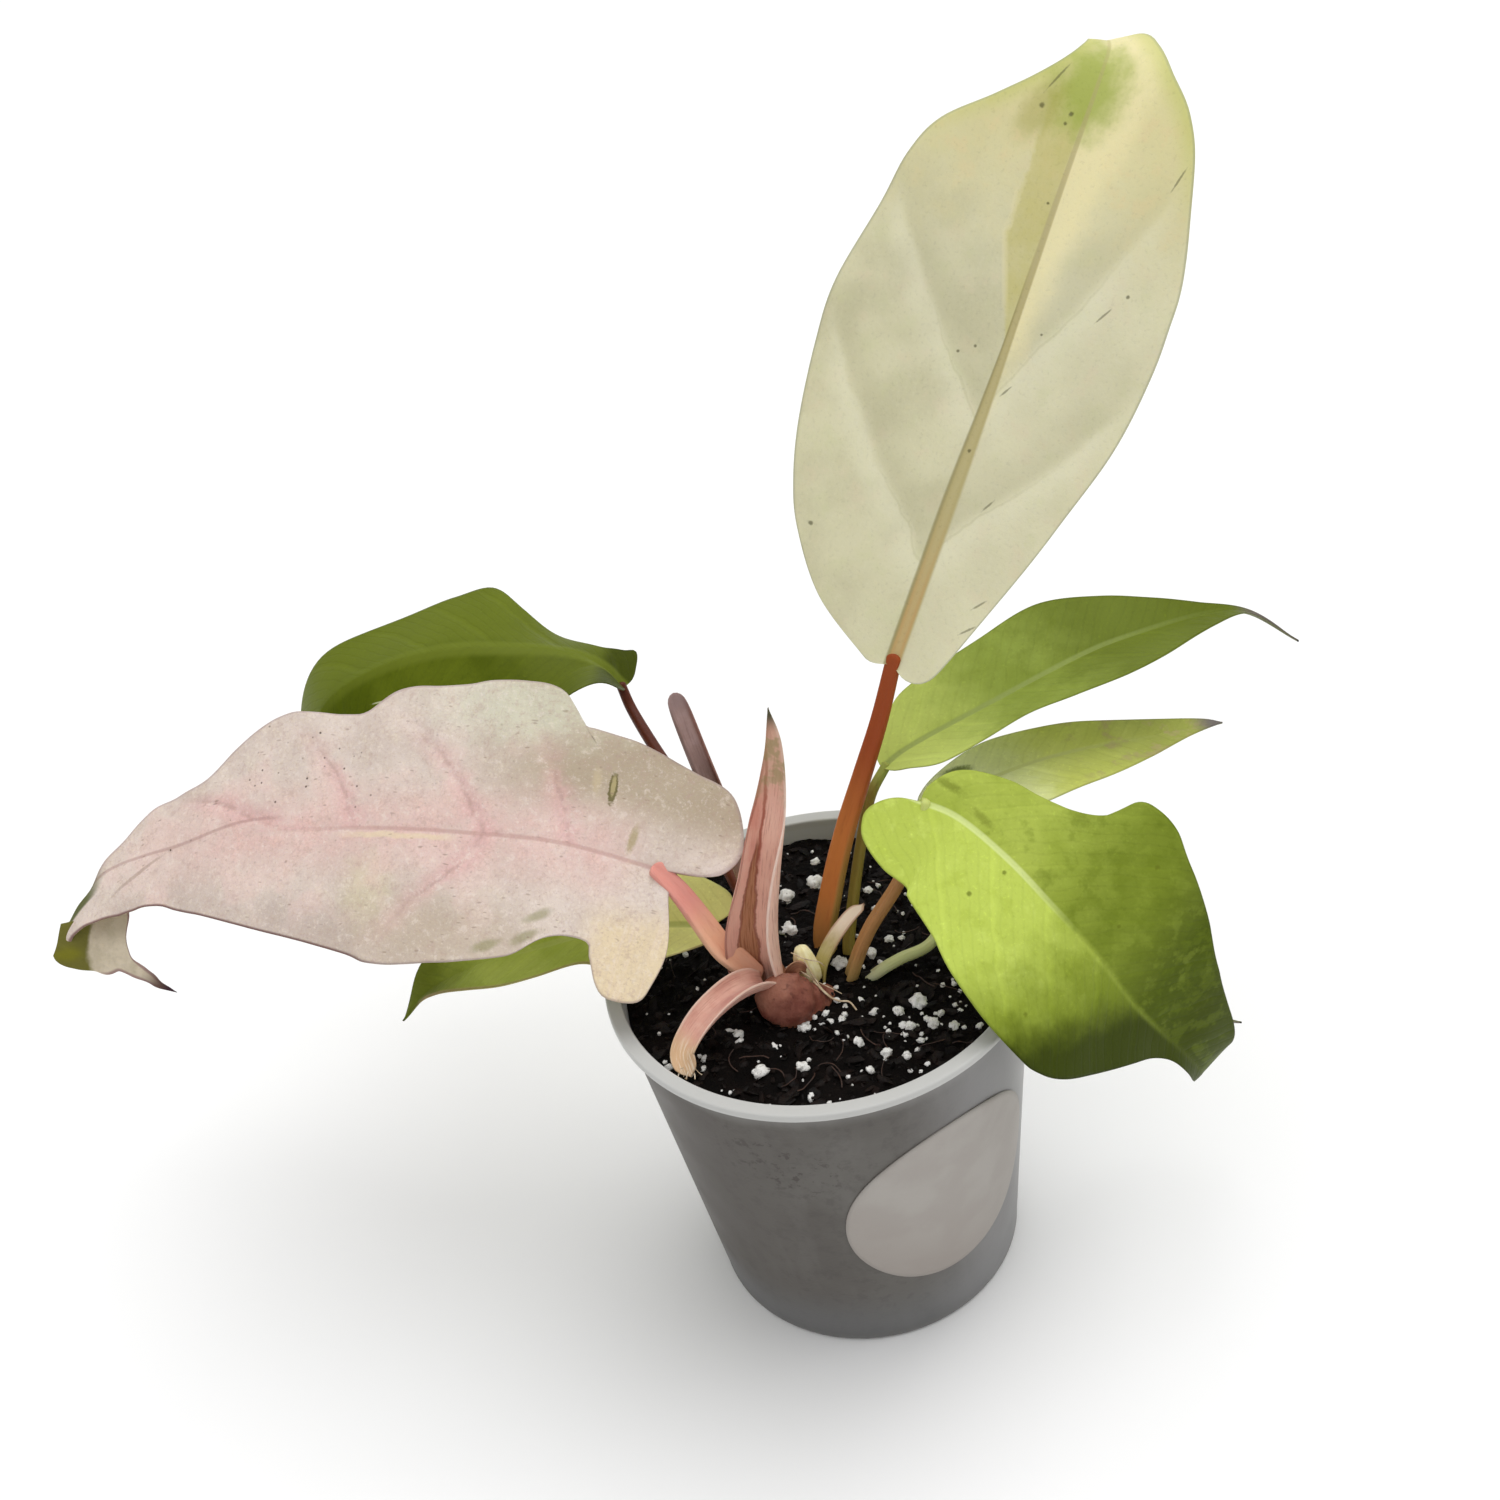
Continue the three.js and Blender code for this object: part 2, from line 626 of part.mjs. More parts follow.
// Stands behind the swollen base and clasps the pink blade's stalk.
const tallSheath = sheath({
  midrib: [
    [-12, -4.6, 87], [-10.8, -2.4, 103], [-7.4, -1, 118], [-3.6, 0.5, 132], [-1.2, 1.6, 144.5],
    [-1, 2.4, 153.5],
  ],
  face: [-0.35, -0.95, 0.2],
  left: [[0, 8.3], [14, 10], [28, 8.8], [39, 6.6], [47, 4], [55, 2.5], [62, 1.4], [68, 0]],
  cup: [[80, 123], [95, 134], [140, 155], [165, 165], [165, 165], [165, 165]],
  rows: 16,
});

// A slim spike behind the pink blade's lobe.
const backSheath = sheath({
  midrib: [
    [-11, 4.2, 86.5], [-11.4, 8, 96], [-13, 13.2, 106.4], [-15.3, 19.2, 117.3], [-18, 25, 129.8],
    [-20.2, 29.8, 141.8],
  ],
  face: [0.1, -0.9, 0.3],
  left: [[0, 4], [20, 4.2], [40, 4], [54, 3.4], [60, 2.5], [62, 1.4], [62.6, 0]],
  cup: [[125, 125], [110, 110]],
  rows: 12,
});

// Opens to the left and droops over the mix.
const droopingSheath = sheath({
  midrib: [
    [-12.5, -9.5, 91], [-15.5, -11.5, 93.6], [-20, -14.2, 94.4], [-25, -17.5, 93.6],
    [-29, -20.5, 91.5], [-31.3, -23.2, 89.3], [-31, -26, 87.8],
  ],
  face: [0.4, 0.2, 0.9],
  left: [[0, 5], [6, 6.6], [13, 6], [21, 4.6], [28, 3], [30.5, 0]],
  right: [[0, 3.6], [6, 4.6], [13, 4.2], [21, 3.6], [28, 2.8], [30.5, 0]],
  cup: [[85, 85], [95, 95]],
  rows: 12,
});

// The curled remnant of an old sheath between the two shoots.
const driedSheath = sheath({
  midrib: [[-0.8, -4.6, 84], [0.6, -3.2, 88.5], [3.4, -1.2, 92], [7.2, 1.4, 94.8], [11.5, 4.3, 96.5]],
  face: [-0.5, -0.2, 0.8],
  left: [[0, 2.2], [9, 2.3], [14, 2.2], [18.5, 1.8], [20.5, 0]],
  cup: [[60, 60], [50, 50]],
  rows: 8,
});

// Stem and stalks, each from its foot to its top

// The creeping stem: the swollen base at the left, then buried as far as the second shoot.
const stem = new Stalk({
  points: [
    [-12, -9, 92.5], [-10.5, -11, 90.5], [-8, -12, 87.8], [-5, -11, 84.6], [-1, -8.5, 82],
    [2.5, -5, 80.6], [5, -0.5, 80],
  ],
  radii: [3.4, 5.4, 6, 5.2, 4.4, 4, 3.4],
  face: [0, -1, 0],
  sides: 12,
});

const bud = new Stalk({
  points: [[-2.6, -4.4, 85], [-3, -4.1, 88.5], [-3.6, -3.4, 92], [-3.9, -2.9, 94.5]],
  radii: [2.2, 2.5, 2.2, 1.2],
  face: [0, -1, 0],
});

const creamStalk = new Stalk({
  points: [
    [3.4, 1.6, 80], [1.6, 5.2, 87], [5, 8.6, 98], [10, 12, 110.5], [16, 15, 123], [21.5, 17.7, 134.5],
    [26.4, 20.6, 146.5],
  ],
  radii: [2.6, 2.6, 2.5, 2.3, 2.1, 1.9, 1.7],
  face: [-0.5, -0.8, 0.2],
  crown: 0.6,
});

const pinkStalk = new Stalk({
  points: [
    [-14.5, -6.5, 92], [-17.2, -5.2, 95.5], [-20.2, -4, 99.5], [-23.5, -1, 106], [-26.8, 2, 112],
    [-30.6, 5, 116.6],
  ],
  radii: [2.6, 2.8, 2.8, 2.6, 2.3, 1.9],
  face: [0.5, -0.6, 0.6],
  crown: 0.35,
});

const darkStalk = new Stalk({
  points: [
    [-8, -4.5, 84], [-10.5, 1, 89], [-16, 18, 100], [-22, 36, 107], [-29, 54, 112.5], [-33, 65, 116.5],
    [-34.4, 68.4, 121.6],
  ],
  radii: [1.6, 1.5, 1.5, 1.4, 1.4, 1.3, 1.2],
  face: [0, 0, 1],
});

const lowStalk = new Stalk({
  points: [[-7.4, -4.6, 81], [-12, 0.5, 84.5], [-17, 4, 89], [-20.5, 5.4, 94], [-23.6, 6.4, 97]],
  radii: [1.4, 1.4, 1.4, 1.3, 1.2],
});

const lanceStalk = new Stalk({
  points: [
    [6.4, 0.8, 80.5], [6.6, 2.8, 87], [9.4, 8.5, 94.5], [13, 13, 105], [17, 17, 115],
    [21.6, 20.2, 120.2],
  ],
  radii: [1.5, 1.4, 1.3, 1.25, 1.2, 1.1],
  face: [-0.6, -0.6, 0.3],
});

const slimStalk = new Stalk({
  points: [
    [7.6, -2.6, 79.5], [9.4, -6, 84.5], [13, -7.2, 88], [17, -6.5, 89.2], [24, -4.5, 90.2],
    [30, 2, 94.5], [33.5, 10, 102], [34.6, 17.2, 110.2],
  ],
  radii: [1.5, 1.5, 1.5, 1.5, 1.4, 1.3, 1.2, 1.1],
  face: [0, -0.3, 1],
});

const broadStalk = new Stalk({
  points: [
    [5, -3.4, 80], [5.9, -6, 87], [11, -5, 97.3], [18.5, -4, 107.5], [23.8, -2.6, 117],
    [26.8, -0.4, 125],
  ],
  radii: [1.8, 1.8, 1.7, 1.6, 1.5, 1.4],
  face: [-0.8, -0.1, 0.5],
  crown: 0.6,
});

// What the sheaths of the left shoot are cut clear of, and the dried one between the shoots.
const SHOOT = ["stem", "stalk_pink", "stalk_dark", "stalk_low"];
const MIDDLE = ["stem", "bud", "stalk_cream", "stalk_lance", "stalk_broad"];

// Every piece of growth: its node, shape, the pieces that it is cut clear of, colour and roughness.
const GROWTH = [
  ["stem", stem, [], "#c98d84", 0.5],
  ["bud", bud, ["stem"], "#e6d9a0", 0.5],
  ["blade_cream", creamBlade, [], "#dfdcc0", 0.4],
  ["blade_pink", pinkLeaf, [], "#dccac2", 0.4],
  ["blade_dark", darkBlade, [], "#6f8238", 0.35],
  ["blade_low", lowBlade, [], "#9bb252", 0.35],
  ["blade_lance", lanceBlade, [], "#96ab55", 0.35],
  ["blade_slim", slimBlade, [], "#aebb66", 0.35],
  ["blade_broad", broadBlade, [], "#9fb845", 0.35],
  ["stalk_cream", creamStalk, ["stem", "blade_cream"], "#b3552f", 0.45],
  ["stalk_pink", pinkStalk, ["stem", "blade_pink"], "#d98a72", 0.45],
  ["stalk_dark", darkStalk, ["stem", "blade_dark"], "#6b3a2a", 0.45],
  ["stalk_low", lowStalk, ["stem", "stalk_dark", "blade_low"], "#93a34c", 0.45],
  ["stalk_lance", lanceStalk, ["stem", "stalk_cream", "blade_lance"], "#7d6c34", 0.45],
  ["stalk_broad", broadStalk, ["stem", "blade_broad"], "#8f6238", 0.45],
  ["stalk_slim", slimStalk, ["stem", "stalk_broad", "blade_slim"], "#aab06a", 0.45],
  ["sheath_tall", tallSheath, SHOOT, "#cf9488", 0.55],
  ["sheath_drooping", droopingSheath, [...SHOOT, "sheath_tall"], "#d9a294", 0.55],
  ["sheath_back", backSheath, [...SHOOT, "sheath_tall", "blade_pink"], "#a47a70", 0.55],
  ["sheath_dried", driedSheath, MIDDLE, "#c8b98c", 0.6],
];

const plant = new THREE.Group();

function addPiece(name, solid, color, roughness) {
  const material = new THREE.MeshStandardMaterial({ color, roughness, metalness: 0 });
  const mesh = new THREE.Mesh(geometryOf(solid), material);
  mesh.name = name;
  plant.add(mesh);
}

const shapes = new Map(GROWTH.map(([name, shape]) => [name, shape]));
for (const [name, shape, neighbours, color, roughness] of GROWTH) {
  const room = neighbours.map((neighbour) => shapes.get(neighbour).solid(GAP));
  addPiece(name, clearOf(shape.solid(), room), color, roughness);
}

// What stands in the mix: the stem, and all that grows from its buried stretch.
const ROOTED = [
  "stem", "bud", "stalk_cream", "stalk_lance", "stalk_broad", "stalk_slim", "stalk_dark", "stalk_low",
  "sheath_dried",
];
const holes = ROOTED.map((name) => shapes.get(name).solid(GAP));
addPiece("soil", clearOf(soilSolid(), holes), "#1d1813", 0.95);
addPiece("pot", potSolid(), "#b9bcbf", 0.35);
addPiece("label", labelSolid(), "#d8d8da", 0.6);

export default plant;
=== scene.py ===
"""A young variegated philodendron in a small translucent nursery pot: fine shapes and finishes."""
import math
import random
from dataclasses import dataclass
import bmesh
import bpy
import numpy as np
from mathutils import Matrix, Vector, noise


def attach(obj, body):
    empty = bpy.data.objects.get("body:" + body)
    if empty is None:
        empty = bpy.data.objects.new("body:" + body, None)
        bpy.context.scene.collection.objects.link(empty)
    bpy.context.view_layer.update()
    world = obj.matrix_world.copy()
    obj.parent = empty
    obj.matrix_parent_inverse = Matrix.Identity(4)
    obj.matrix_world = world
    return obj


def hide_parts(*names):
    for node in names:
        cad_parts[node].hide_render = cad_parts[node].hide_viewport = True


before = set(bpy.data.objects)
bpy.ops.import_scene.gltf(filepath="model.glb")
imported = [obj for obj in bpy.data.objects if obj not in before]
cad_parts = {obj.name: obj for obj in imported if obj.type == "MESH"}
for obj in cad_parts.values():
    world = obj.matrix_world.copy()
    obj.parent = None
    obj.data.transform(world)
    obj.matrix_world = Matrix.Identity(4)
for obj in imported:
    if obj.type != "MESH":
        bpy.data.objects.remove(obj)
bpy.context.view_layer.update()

# Sizes below are in millimetres
MM = 0.001

# Points of a mesh that are nearer than this, in metres, are one point
SAME_PLACE = 2e-6

# Pot: its wall widens by SLOPE with height, and CORNER is where the wall meets the base
POT_HEIGHT = 90
RIM_RADIUS = 47.5
RIM_HEIGHT = 1.8
BODY_TOP_RADIUS = 45.4
BASE_RADIUS = 36
SLOPE = (BODY_TOP_RADIUS - BASE_RADIUS) / POT_HEIGHT
WALL = 1.2
FLOOR = 1.6
CORNER = 3
RECESS_DEPTH = 0.6
DRAIN_RADIUS = 3
DRAIN_CIRCLE = 22
DRAIN_COUNT = 6
POT_SIDES = 192

# Round label on the pot's wall
LABEL_RADIUS = 25.5
LABEL_THICK = 0.4
LABEL_HEIGHT = 46
LABEL_TURN = -62

# Potting mix: its height at the wall and in the middle, its mesh, and how much lies on it
SOIL_EDGE = 84.5
SOIL_MIDDLE = 86
SOIL_RINGS = 130
SOIL_SIDES = 300
CHIPS = 1500
CRUMBS = 190
SPILLED = 36
SPILL_PLACE = (15, -22)
FIBRES = 46
FRAYS = 9

# Studio: light from all round, a wide sun from above, and how far the floor reaches
WORLD_LIGHT = 0.72
SUN = 1.5
SUN_TOWARDS = (0.3, 0.2, 1)
SUN_ANGLE = 50
FLOOR_REACH = 6000

# Camera
EYE = (0, -288.356, 357.020)
EYE_RIGHT = (0.98218, -0.09720, -0.16088)
EYE_UP = (0.18720, 0.58280, 0.79076)
EYE_BACK = (0.01690, -0.80678, 0.59061)
LENS = 43.2
SENSOR = 36


# Curves and the frames carried along them


def unit(vectors):
    """Vectors of the same direction and of length 1."""
    return vectors / np.linalg.norm(vectors, axis=-1, keepdims=True)


def lengths_along(path):
    """How far along a path each of its points is."""
    return np.concatenate([[0], np.cumsum(np.linalg.norm(np.diff(path, axis=0), axis=1))])


def carried_on(values):
    """The values, with one more at either end in line with the last two."""
    v = np.asarray(values, float)
    return np.concatenate([[2 * v[0] - v[1]], v, [2 * v[-1] - v[-2]]])


def between(a, b, c, d, t):
    """The Catmull-Rom curve of four values, at a share t of the way from b to c."""
    bend = 2 * a - 5 * b + 4 * c - d
    twist = 3 * b - a - 3 * c + d
    return 0.5 * (2 * b + (c - a) * t + bend * t**2 + twist * t**3)


def spline(points, count):
    """Places on a smooth curve through points, count to a span."""
    q = carried_on(points)
    t = (np.arange(count) / count)[:, None]
    spans = [between(*q[i : i + 4], t) for i in range(len(q) - 3)]
    return np.vstack(spans + [q[-2:-1]])


def value_at(stations, share):
    """Smooth value at a share (0 to 1) of equally spaced stations."""
    q = carried_on(stations)
    place = np.clip(share, 0, 1) * (len(q) - 3)
    i = np.minimum(place.astype(int), len(q) - 4)
    return between(q[i], q[i + 1], q[i + 2], q[i + 3], place - i)


class Axis:
    """A space curve with an upper side."""

    STEPS = 48

    def __init__(self, points, face):
        self.places = spline(points, self.STEPS)
        self.lengths = lengths_along(self.places)
        self.length = self.lengths[-1]
        self.ahead = unit(np.gradient(self.places, self.lengths, axis=0))
        self.up = np.zeros_like(self.places)
        normal = np.asarray(face, float)
        for i, ahead in enumerate(self.ahead):
            normal = unit(normal - normal.dot(ahead) * ahead)
            self.up[i] = normal

    def share(self, s):
        """Share of the control points passed at an arc length."""
        return np.interp(s, self.lengths, np.linspace(0, 1, len(self.lengths)))

    def at(self, s):
        """Place, direction and upward normal at arc lengths."""
        s = np.asarray(s, float)
        within = np.clip(s, 0, self.length)

        def mixed(table):
            return np.stack([np.interp(within, self.lengths, table[:, k]) for k in range(3)], -1)

        ahead = unit(mixed(self.ahead))
        up = mixed(self.up)
        up = unit(up - (up * ahead).sum(-1, keepdims=True) * ahead)
        return mixed(self.places) + ahead * (s - within)[..., None], ahead, up


# Leaf blades: a flat outline, bent round its midrib, folded and cupped on each side


@dataclass
class Blade:
    """A thin closed leaf. Side 0 is left of the midrib and side 1 right of it, seen from above.

    The midrib runs through space, and the leaf's upper side looks towards face where it starts. The
    margins are those of the flat leaf, as lengths along the midrib and out from it.
    """

    midrib: list
    face: tuple
    left: list
    right: list

    # How far each side leans up at the midrib and how far it curls up to its margin: degrees for side 0
    # and side 1, at equally spaced stations
    fold: tuple = ((0, 0),) * 2
    cup: tuple = ((0, 0),) * 2

    # Share of the rows that fan out round the foot, and the spacing of columns and of each side's rows
    lobe: float = 0.2
    sweep: float = 1.2
    pace: tuple = (1, 1)
    rows: int = 150
    columns: int = 34

    # Thickness at the midrib and at the margin, and the rib's keel below and groove above
    thick: float = 0.5
    edge: float = 0.22
    keel: float = 0.8
    keel_width: float = 0.9
    groove: float = 0.25
    relief: object = None

    # Half the stretch over which a slope is measured, and how far out the normal is square to the blade
    STEP = 0.2
    SQUARE_FROM = 4

    # Steps to a span of the margin, how the rows crowd to the foot and how the rib thins to the tip
    MARGIN_STEPS = 40
    CROWDING = 1.15
    THINNING = 0.7

    # A curl in radians that keeps the formula for a flat side from dividing by nothing
    LEAST_CURL = 1e-5

    def __post_init__(self):
        self.axis = Axis(self.midrib, self.face)
        self.length = self.axis.length
        self.outlines = [np.asarray(outline, float) for outline in (self.left, self.right)]
        self.half = [outline[:, 1].max() for outline in self.outlines]
        self.fold = np.asarray(self.fold, float)
        self.cup = np.asarray(self.cup, float)

    def margin(self, side, t):
        """Flat points at shares of the margin's length."""
        path = spline(self.outlines[side], self.MARGIN_STEPS)
        lengths = lengths_along(path)
        wanted = t ** self.pace[side] * lengths[-1]
        return np.stack([np.interp(wanted, lengths, path[:, k]) for k in range(2)], -1)

    def frame(self, x):
        """Place, upward and outward directions at a length along the midrib."""
        place, ahead, up = self.axis.at(x)
        return place, up, np.cross(ahead, up)

    def bent(self, x, y, side):
        """The point of the bent blade over the flat point x along and y out from the midrib."""
        share = self.axis.share(x)
        fold = np.radians(value_at(self.fold[:, side], share))
        turn = (np.radians(value_at(self.cup[:, side], share)) + self.LEAST_CURL) / self.half[side]
        angle = fold + turn * y
        across = (np.sin(angle) - np.sin(fold)) / turn
        lift = (np.cos(fold) - np.cos(angle)) / turn
        place, up, out = self.frame(x)
        way = 1 if side else -1
        return place + out * (way * across)[..., None] + up * lift[..., None]

    def normal(self, x, y, side):
        """Upward at the midrib, and square to the blade further out."""
        along = self.bent(x + self.STEP, y, side) - self.bent(x - self.STEP, y, side)
        out = self.bent(x, y + self.STEP, side) - self.bent(x, y - self.STEP, side)
        square = unit(np.cross(out, along)) * (1 if side else -1)
        up = self.frame(x)[1]
        share = np.clip(y / self.SQUARE_FROM, 0, 1)[..., None]
        return unit(up * (1 - share) + square * share)

    def half_grid(self, side):
        """Flat x, flat y and share of the way out of the points of one side."""
        t = (np.arange(self.rows) + 1) / self.rows
        start = self.length * np.clip((t - self.lobe) / (1 - self.lobe), 0, 1) ** self.CROWDING
        edge = self.margin(side, t)
        v = np.linspace(0, 1, self.columns + 1)
        x = start[:, None] + (edge[:, :1] - start[:, None]) * v**self.sweep
        return x, edge[:, 1:] * v, np.broadcast_to(v, x.shape)

    def surfaces(self):
        """Upper and lower points, flat places and distances from the margin, row by row from the left."""
        halves = []
        for side in (0, 1):
            x, y, v = self.half_grid(side)
            signed = y if side else -y
            normal = self.normal(x, y, side)
            middle = self.bent(x, y, side)
            if self.relief:
                middle = middle + normal * self.relief(x, signed, v)[..., None]
            depth = 0.5 * (self.edge + (self.thick - self.edge) * (1 - v**3))
            taper = np.clip(1 - x / self.length, 0, 1) ** self.THINNING
            ridge = np.exp(-((y / self.keel_width) ** 2)) * taper
            upper = middle + normal * (depth - self.groove * ridge)[..., None]
            lower = middle - normal * (depth + self.keel * ridge)[..., None]
            halves.append((upper, lower, np.stack([x, signed], -1), (1 - v) * y[:, -1:]))
        return [np.concatenate([left[:, ::-1], right[:, 1:]], axis=1) for left, right in zip(*halves)]

    def build(self, name):
        """The leaf as an object. Its points know their flat place and side, and their distance inward."""
        upper, lower, flat, inward = self.surfaces()
        rows, width = flat.shape[:2]
        count = rows * width
        points = np.concatenate([upper.reshape(-1, 3), lower.reshape(-1, 3)])
        sides = np.concatenate([np.ones(count), -np.ones(count)])
        flats = np.column_stack([np.tile(flat.reshape(-1, 2), (2, 1)), sides])
        index = np.arange(count).reshape(rows, width)
        a, b, c, d = index[:-1, :-1], index[:-1, 1:], index[1:, 1:], index[1:, :-1]
        top = np.stack([a, b, c, d], -1).reshape(-1, 4)
        rim = np.concatenate([index[0, :], index[1:, -1], index[-1, -2::-1], index[-2:0:-1, 0]])
        after = np.roll(rim, -1)
        side = np.stack([after, rim, rim + count, after + count], -1)
        faces = np.concatenate([top, top[:, ::-1] + count, side])
        return mesh_object(name, points, faces, flats, np.tile(inward.ravel(), 2))


def linked(name, data):
    """A new object in the scene."""
    made = bpy.data.objects.new(name, data)
    bpy.context.scene.collection.objects.link(made)
    return made


def settled(work, mesh, name, smooth=True):
    """An object with the finished work as its mesh."""
    work.to_mesh(mesh)
    work.free()
    mesh.polygons.foreach_set("use_smooth", [smooth] * len(mesh.polygons))
    return linked(name, mesh)


def mesh_object(name, points, faces, flats=None, inward=None):
    """An object from points in millimetres. Points at one place are joined, and faces point out."""
    mesh = bpy.data.meshes.new(name)
    faces = faces.tolist() if isinstance(faces, np.ndarray) else faces
    mesh.from_pydata((np.asarray(points, float) * MM).tolist(), [], faces)
    if flats is not None:
        attribute = mesh.attributes.new("flat", "FLOAT_VECTOR", "POINT")
        attribute.data.foreach_set("vector", np.asarray(flats, float).ravel())
    if inward is not None:
        attribute = mesh.attributes.new("inward", "FLOAT", "POINT")
        attribute.data.foreach_set("value", np.asarray(inward, float))
    work = bmesh.new()
    work.from_mesh(mesh)
    bmesh.ops.remove_doubles(work, verts=work.verts, dist=SAME_PLACE)
    bmesh.ops.dissolve_degenerate(work, edges=work.edges, dist=0.5 * SAME_PLACE)
    bmesh.ops.recalc_face_normals(work, faces=work.faces)
    return settled(work, mesh, name)


def ring_faces(rings, sides):
    """Numbers of the points in rings and of each one's neighbour, and the faces between the rings."""
    index = np.arange(rings * sides).reshape(rings, sides)
    after = np.roll(index, -1, axis=1)
    return index, after, np.stack([index[:-1], after[:-1], after[1:], index[1:]], -1).reshape(-1, 4)


def add_piece(piece, look, slot, *nodes):
    """Gives a piece its finish and its place in the frame."""
    piece.data.materials.clear()
    piece.data.materials.append(look)
    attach(piece, "root")
    if nodes:
        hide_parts(*nodes)


# Stalks: rings round a curve


@dataclass
class Stalk:
    """A closed stalk, flat-topped where crown is under 1 and channelled along its top by groove.

    before and beyond lengthen it past its first and last points, and ripple swells it here and there.
    """

    points: list
    radii: tuple
    face: tuple = (0, 0, 1)
    crown: float = 1
    groove: float = 0
    before: float = 0
    beyond: float = 0
    ripple: object = None

    RINGS = 9
    SIDES = 32

    # For a radius of 1: softness of the flat top's edges, length of an end and half the channel's width
    SOFT = 0.12
    BLUNT = 0.6
    CHANNEL = 0.38

    def __post_init__(self):
        self.axis = Axis(self.points, self.face)

    def stations(self):
        """Lengths of the rings and how far each is rounded off, from 0 to 1."""
        start, stop = -self.before, self.axis.length + self.beyond
        first, last = self.BLUNT * self.radii[0], self.BLUNT * self.radii[-1]
        bow = 1 - np.cos(np.radians([0, 25, 50, 75]))
        middle = np.linspace(start + first, stop - last, self.RINGS * (len(self.points) - 1) + 1)
        s = np.concatenate([start + first * bow, middle, stop - last * bow[::-1]])
        near = np.minimum((s - start) / first, (stop - s) / last)
        return s, np.sqrt(1 - (1 - np.clip(near, 0.02, 1)) ** 2)

    def section(self, angle):
        """Height of the cross-section, for a radius of 1."""
        rise = np.sin(angle)
        apart = rise - self.crown
        flattened = 0.5 * (rise + self.crown - np.sqrt(apart**2 + self.SOFT**2))
        channel = self.groove * np.exp(-((np.cos(angle) / self.CHANNEL) ** 2)) * (rise > 0)
        return flattened + 0.5 * self.SOFT * (self.crown >= 1) - channel

    def build(self, name):
        """The stalk as an object. Its points know their length along it and their place round it."""
        s, rounding = self.stations()
        place, ahead, up = self.axis.at(s)
        out = np.cross(ahead, up)
        radius = value_at(self.radii, self.axis.share(s)) * rounding
        angle = np.linspace(0, 2 * math.pi, self.SIDES, endpoint=False)
        swell = np.ones((len(s), self.SIDES))
        if self.ripple:
            swell = swell + self.ripple(s[:, None], angle[None, :])
        wide = (radius[:, None] * np.cos(angle) * swell)[..., None]
        high = (radius[:, None] * self.section(angle) * swell)[..., None]
        points = place[:, None] + wide * out[:, None] + high * up[:, None]
        flats = np.stack(np.broadcast_arrays(s[:, None], np.cos(angle), np.sin(angle)), -1)
        index, after, faces = ring_faces(len(s), self.SIDES)
        foot, top = index.size, index.size + 1
        faces = faces.tolist()
        faces += [[foot, int(b), int(a)] for a, b in zip(index[0], after[0])]
        faces += [[top, int(a), int(b)] for a, b in zip(index[-1], after[-1])]
        points = np.concatenate([points.reshape(-1, 3), [place[0], place[-1]]])
        flats = np.concatenate([flats.reshape(-1, 3), [[s[0], 0, 0], [s[-1], 0, 0]]])
        return mesh_object(name, points, faces, flats)


# Node materials


def tint(code):
    """Linear colour of a #rrggbb code."""
    parts = [int(code[i : i + 2], 16) / 255 for i in (1, 3, 5)]
    linear = [p / 12.92 if p <= 0.04045 else ((p + 0.055) / 1.055) ** 2.4 for p in parts]
    return (*linear, 1)


class Wire:
    """An output in a node tree, with arithmetic that adds Math nodes."""

    def __init__(self, look, socket):
        self.look = look
        self.socket = socket

    def math(self, operation, other=0.0):
        return self.look.wire("ShaderNodeMath", {0: self, 1: other}, operation=operation)

    def __add__(self, other):
        return self.math("ADD", other)

    def __sub__(self, other):
        return self.math("SUBTRACT", other)

    def __mul__(self, other):
        return self.math("MULTIPLY", other)

    def __truediv__(self, other):
        return self.math("DIVIDE", other)

    def __rsub__(self, other):
        return self.math("MULTIPLY", -1).math("ADD", other)

    __radd__ = __add__
    __rmul__ = __mul__

    def size(self):
        return self.math("ABSOLUTE")

    def fraction(self):
        return self.math("FRACT")

    def most(self, other):
        return self.math("MAXIMUM", other)

    def least(self, other):
        return self.math("MINIMUM", other)

    def power(self, exponent):
        return self.math("POWER", exponent)

    def sine(self):
        return self.math("SINE")

    def smooth(self, low, high):
        """0 at low, 1 at high, and smooth between them."""
        inputs = {"Value": self, "From Min": low, "From Max": high}
        return self.look.wire("ShaderNodeMapRange", inputs, interpolation_type="SMOOTHSTEP")


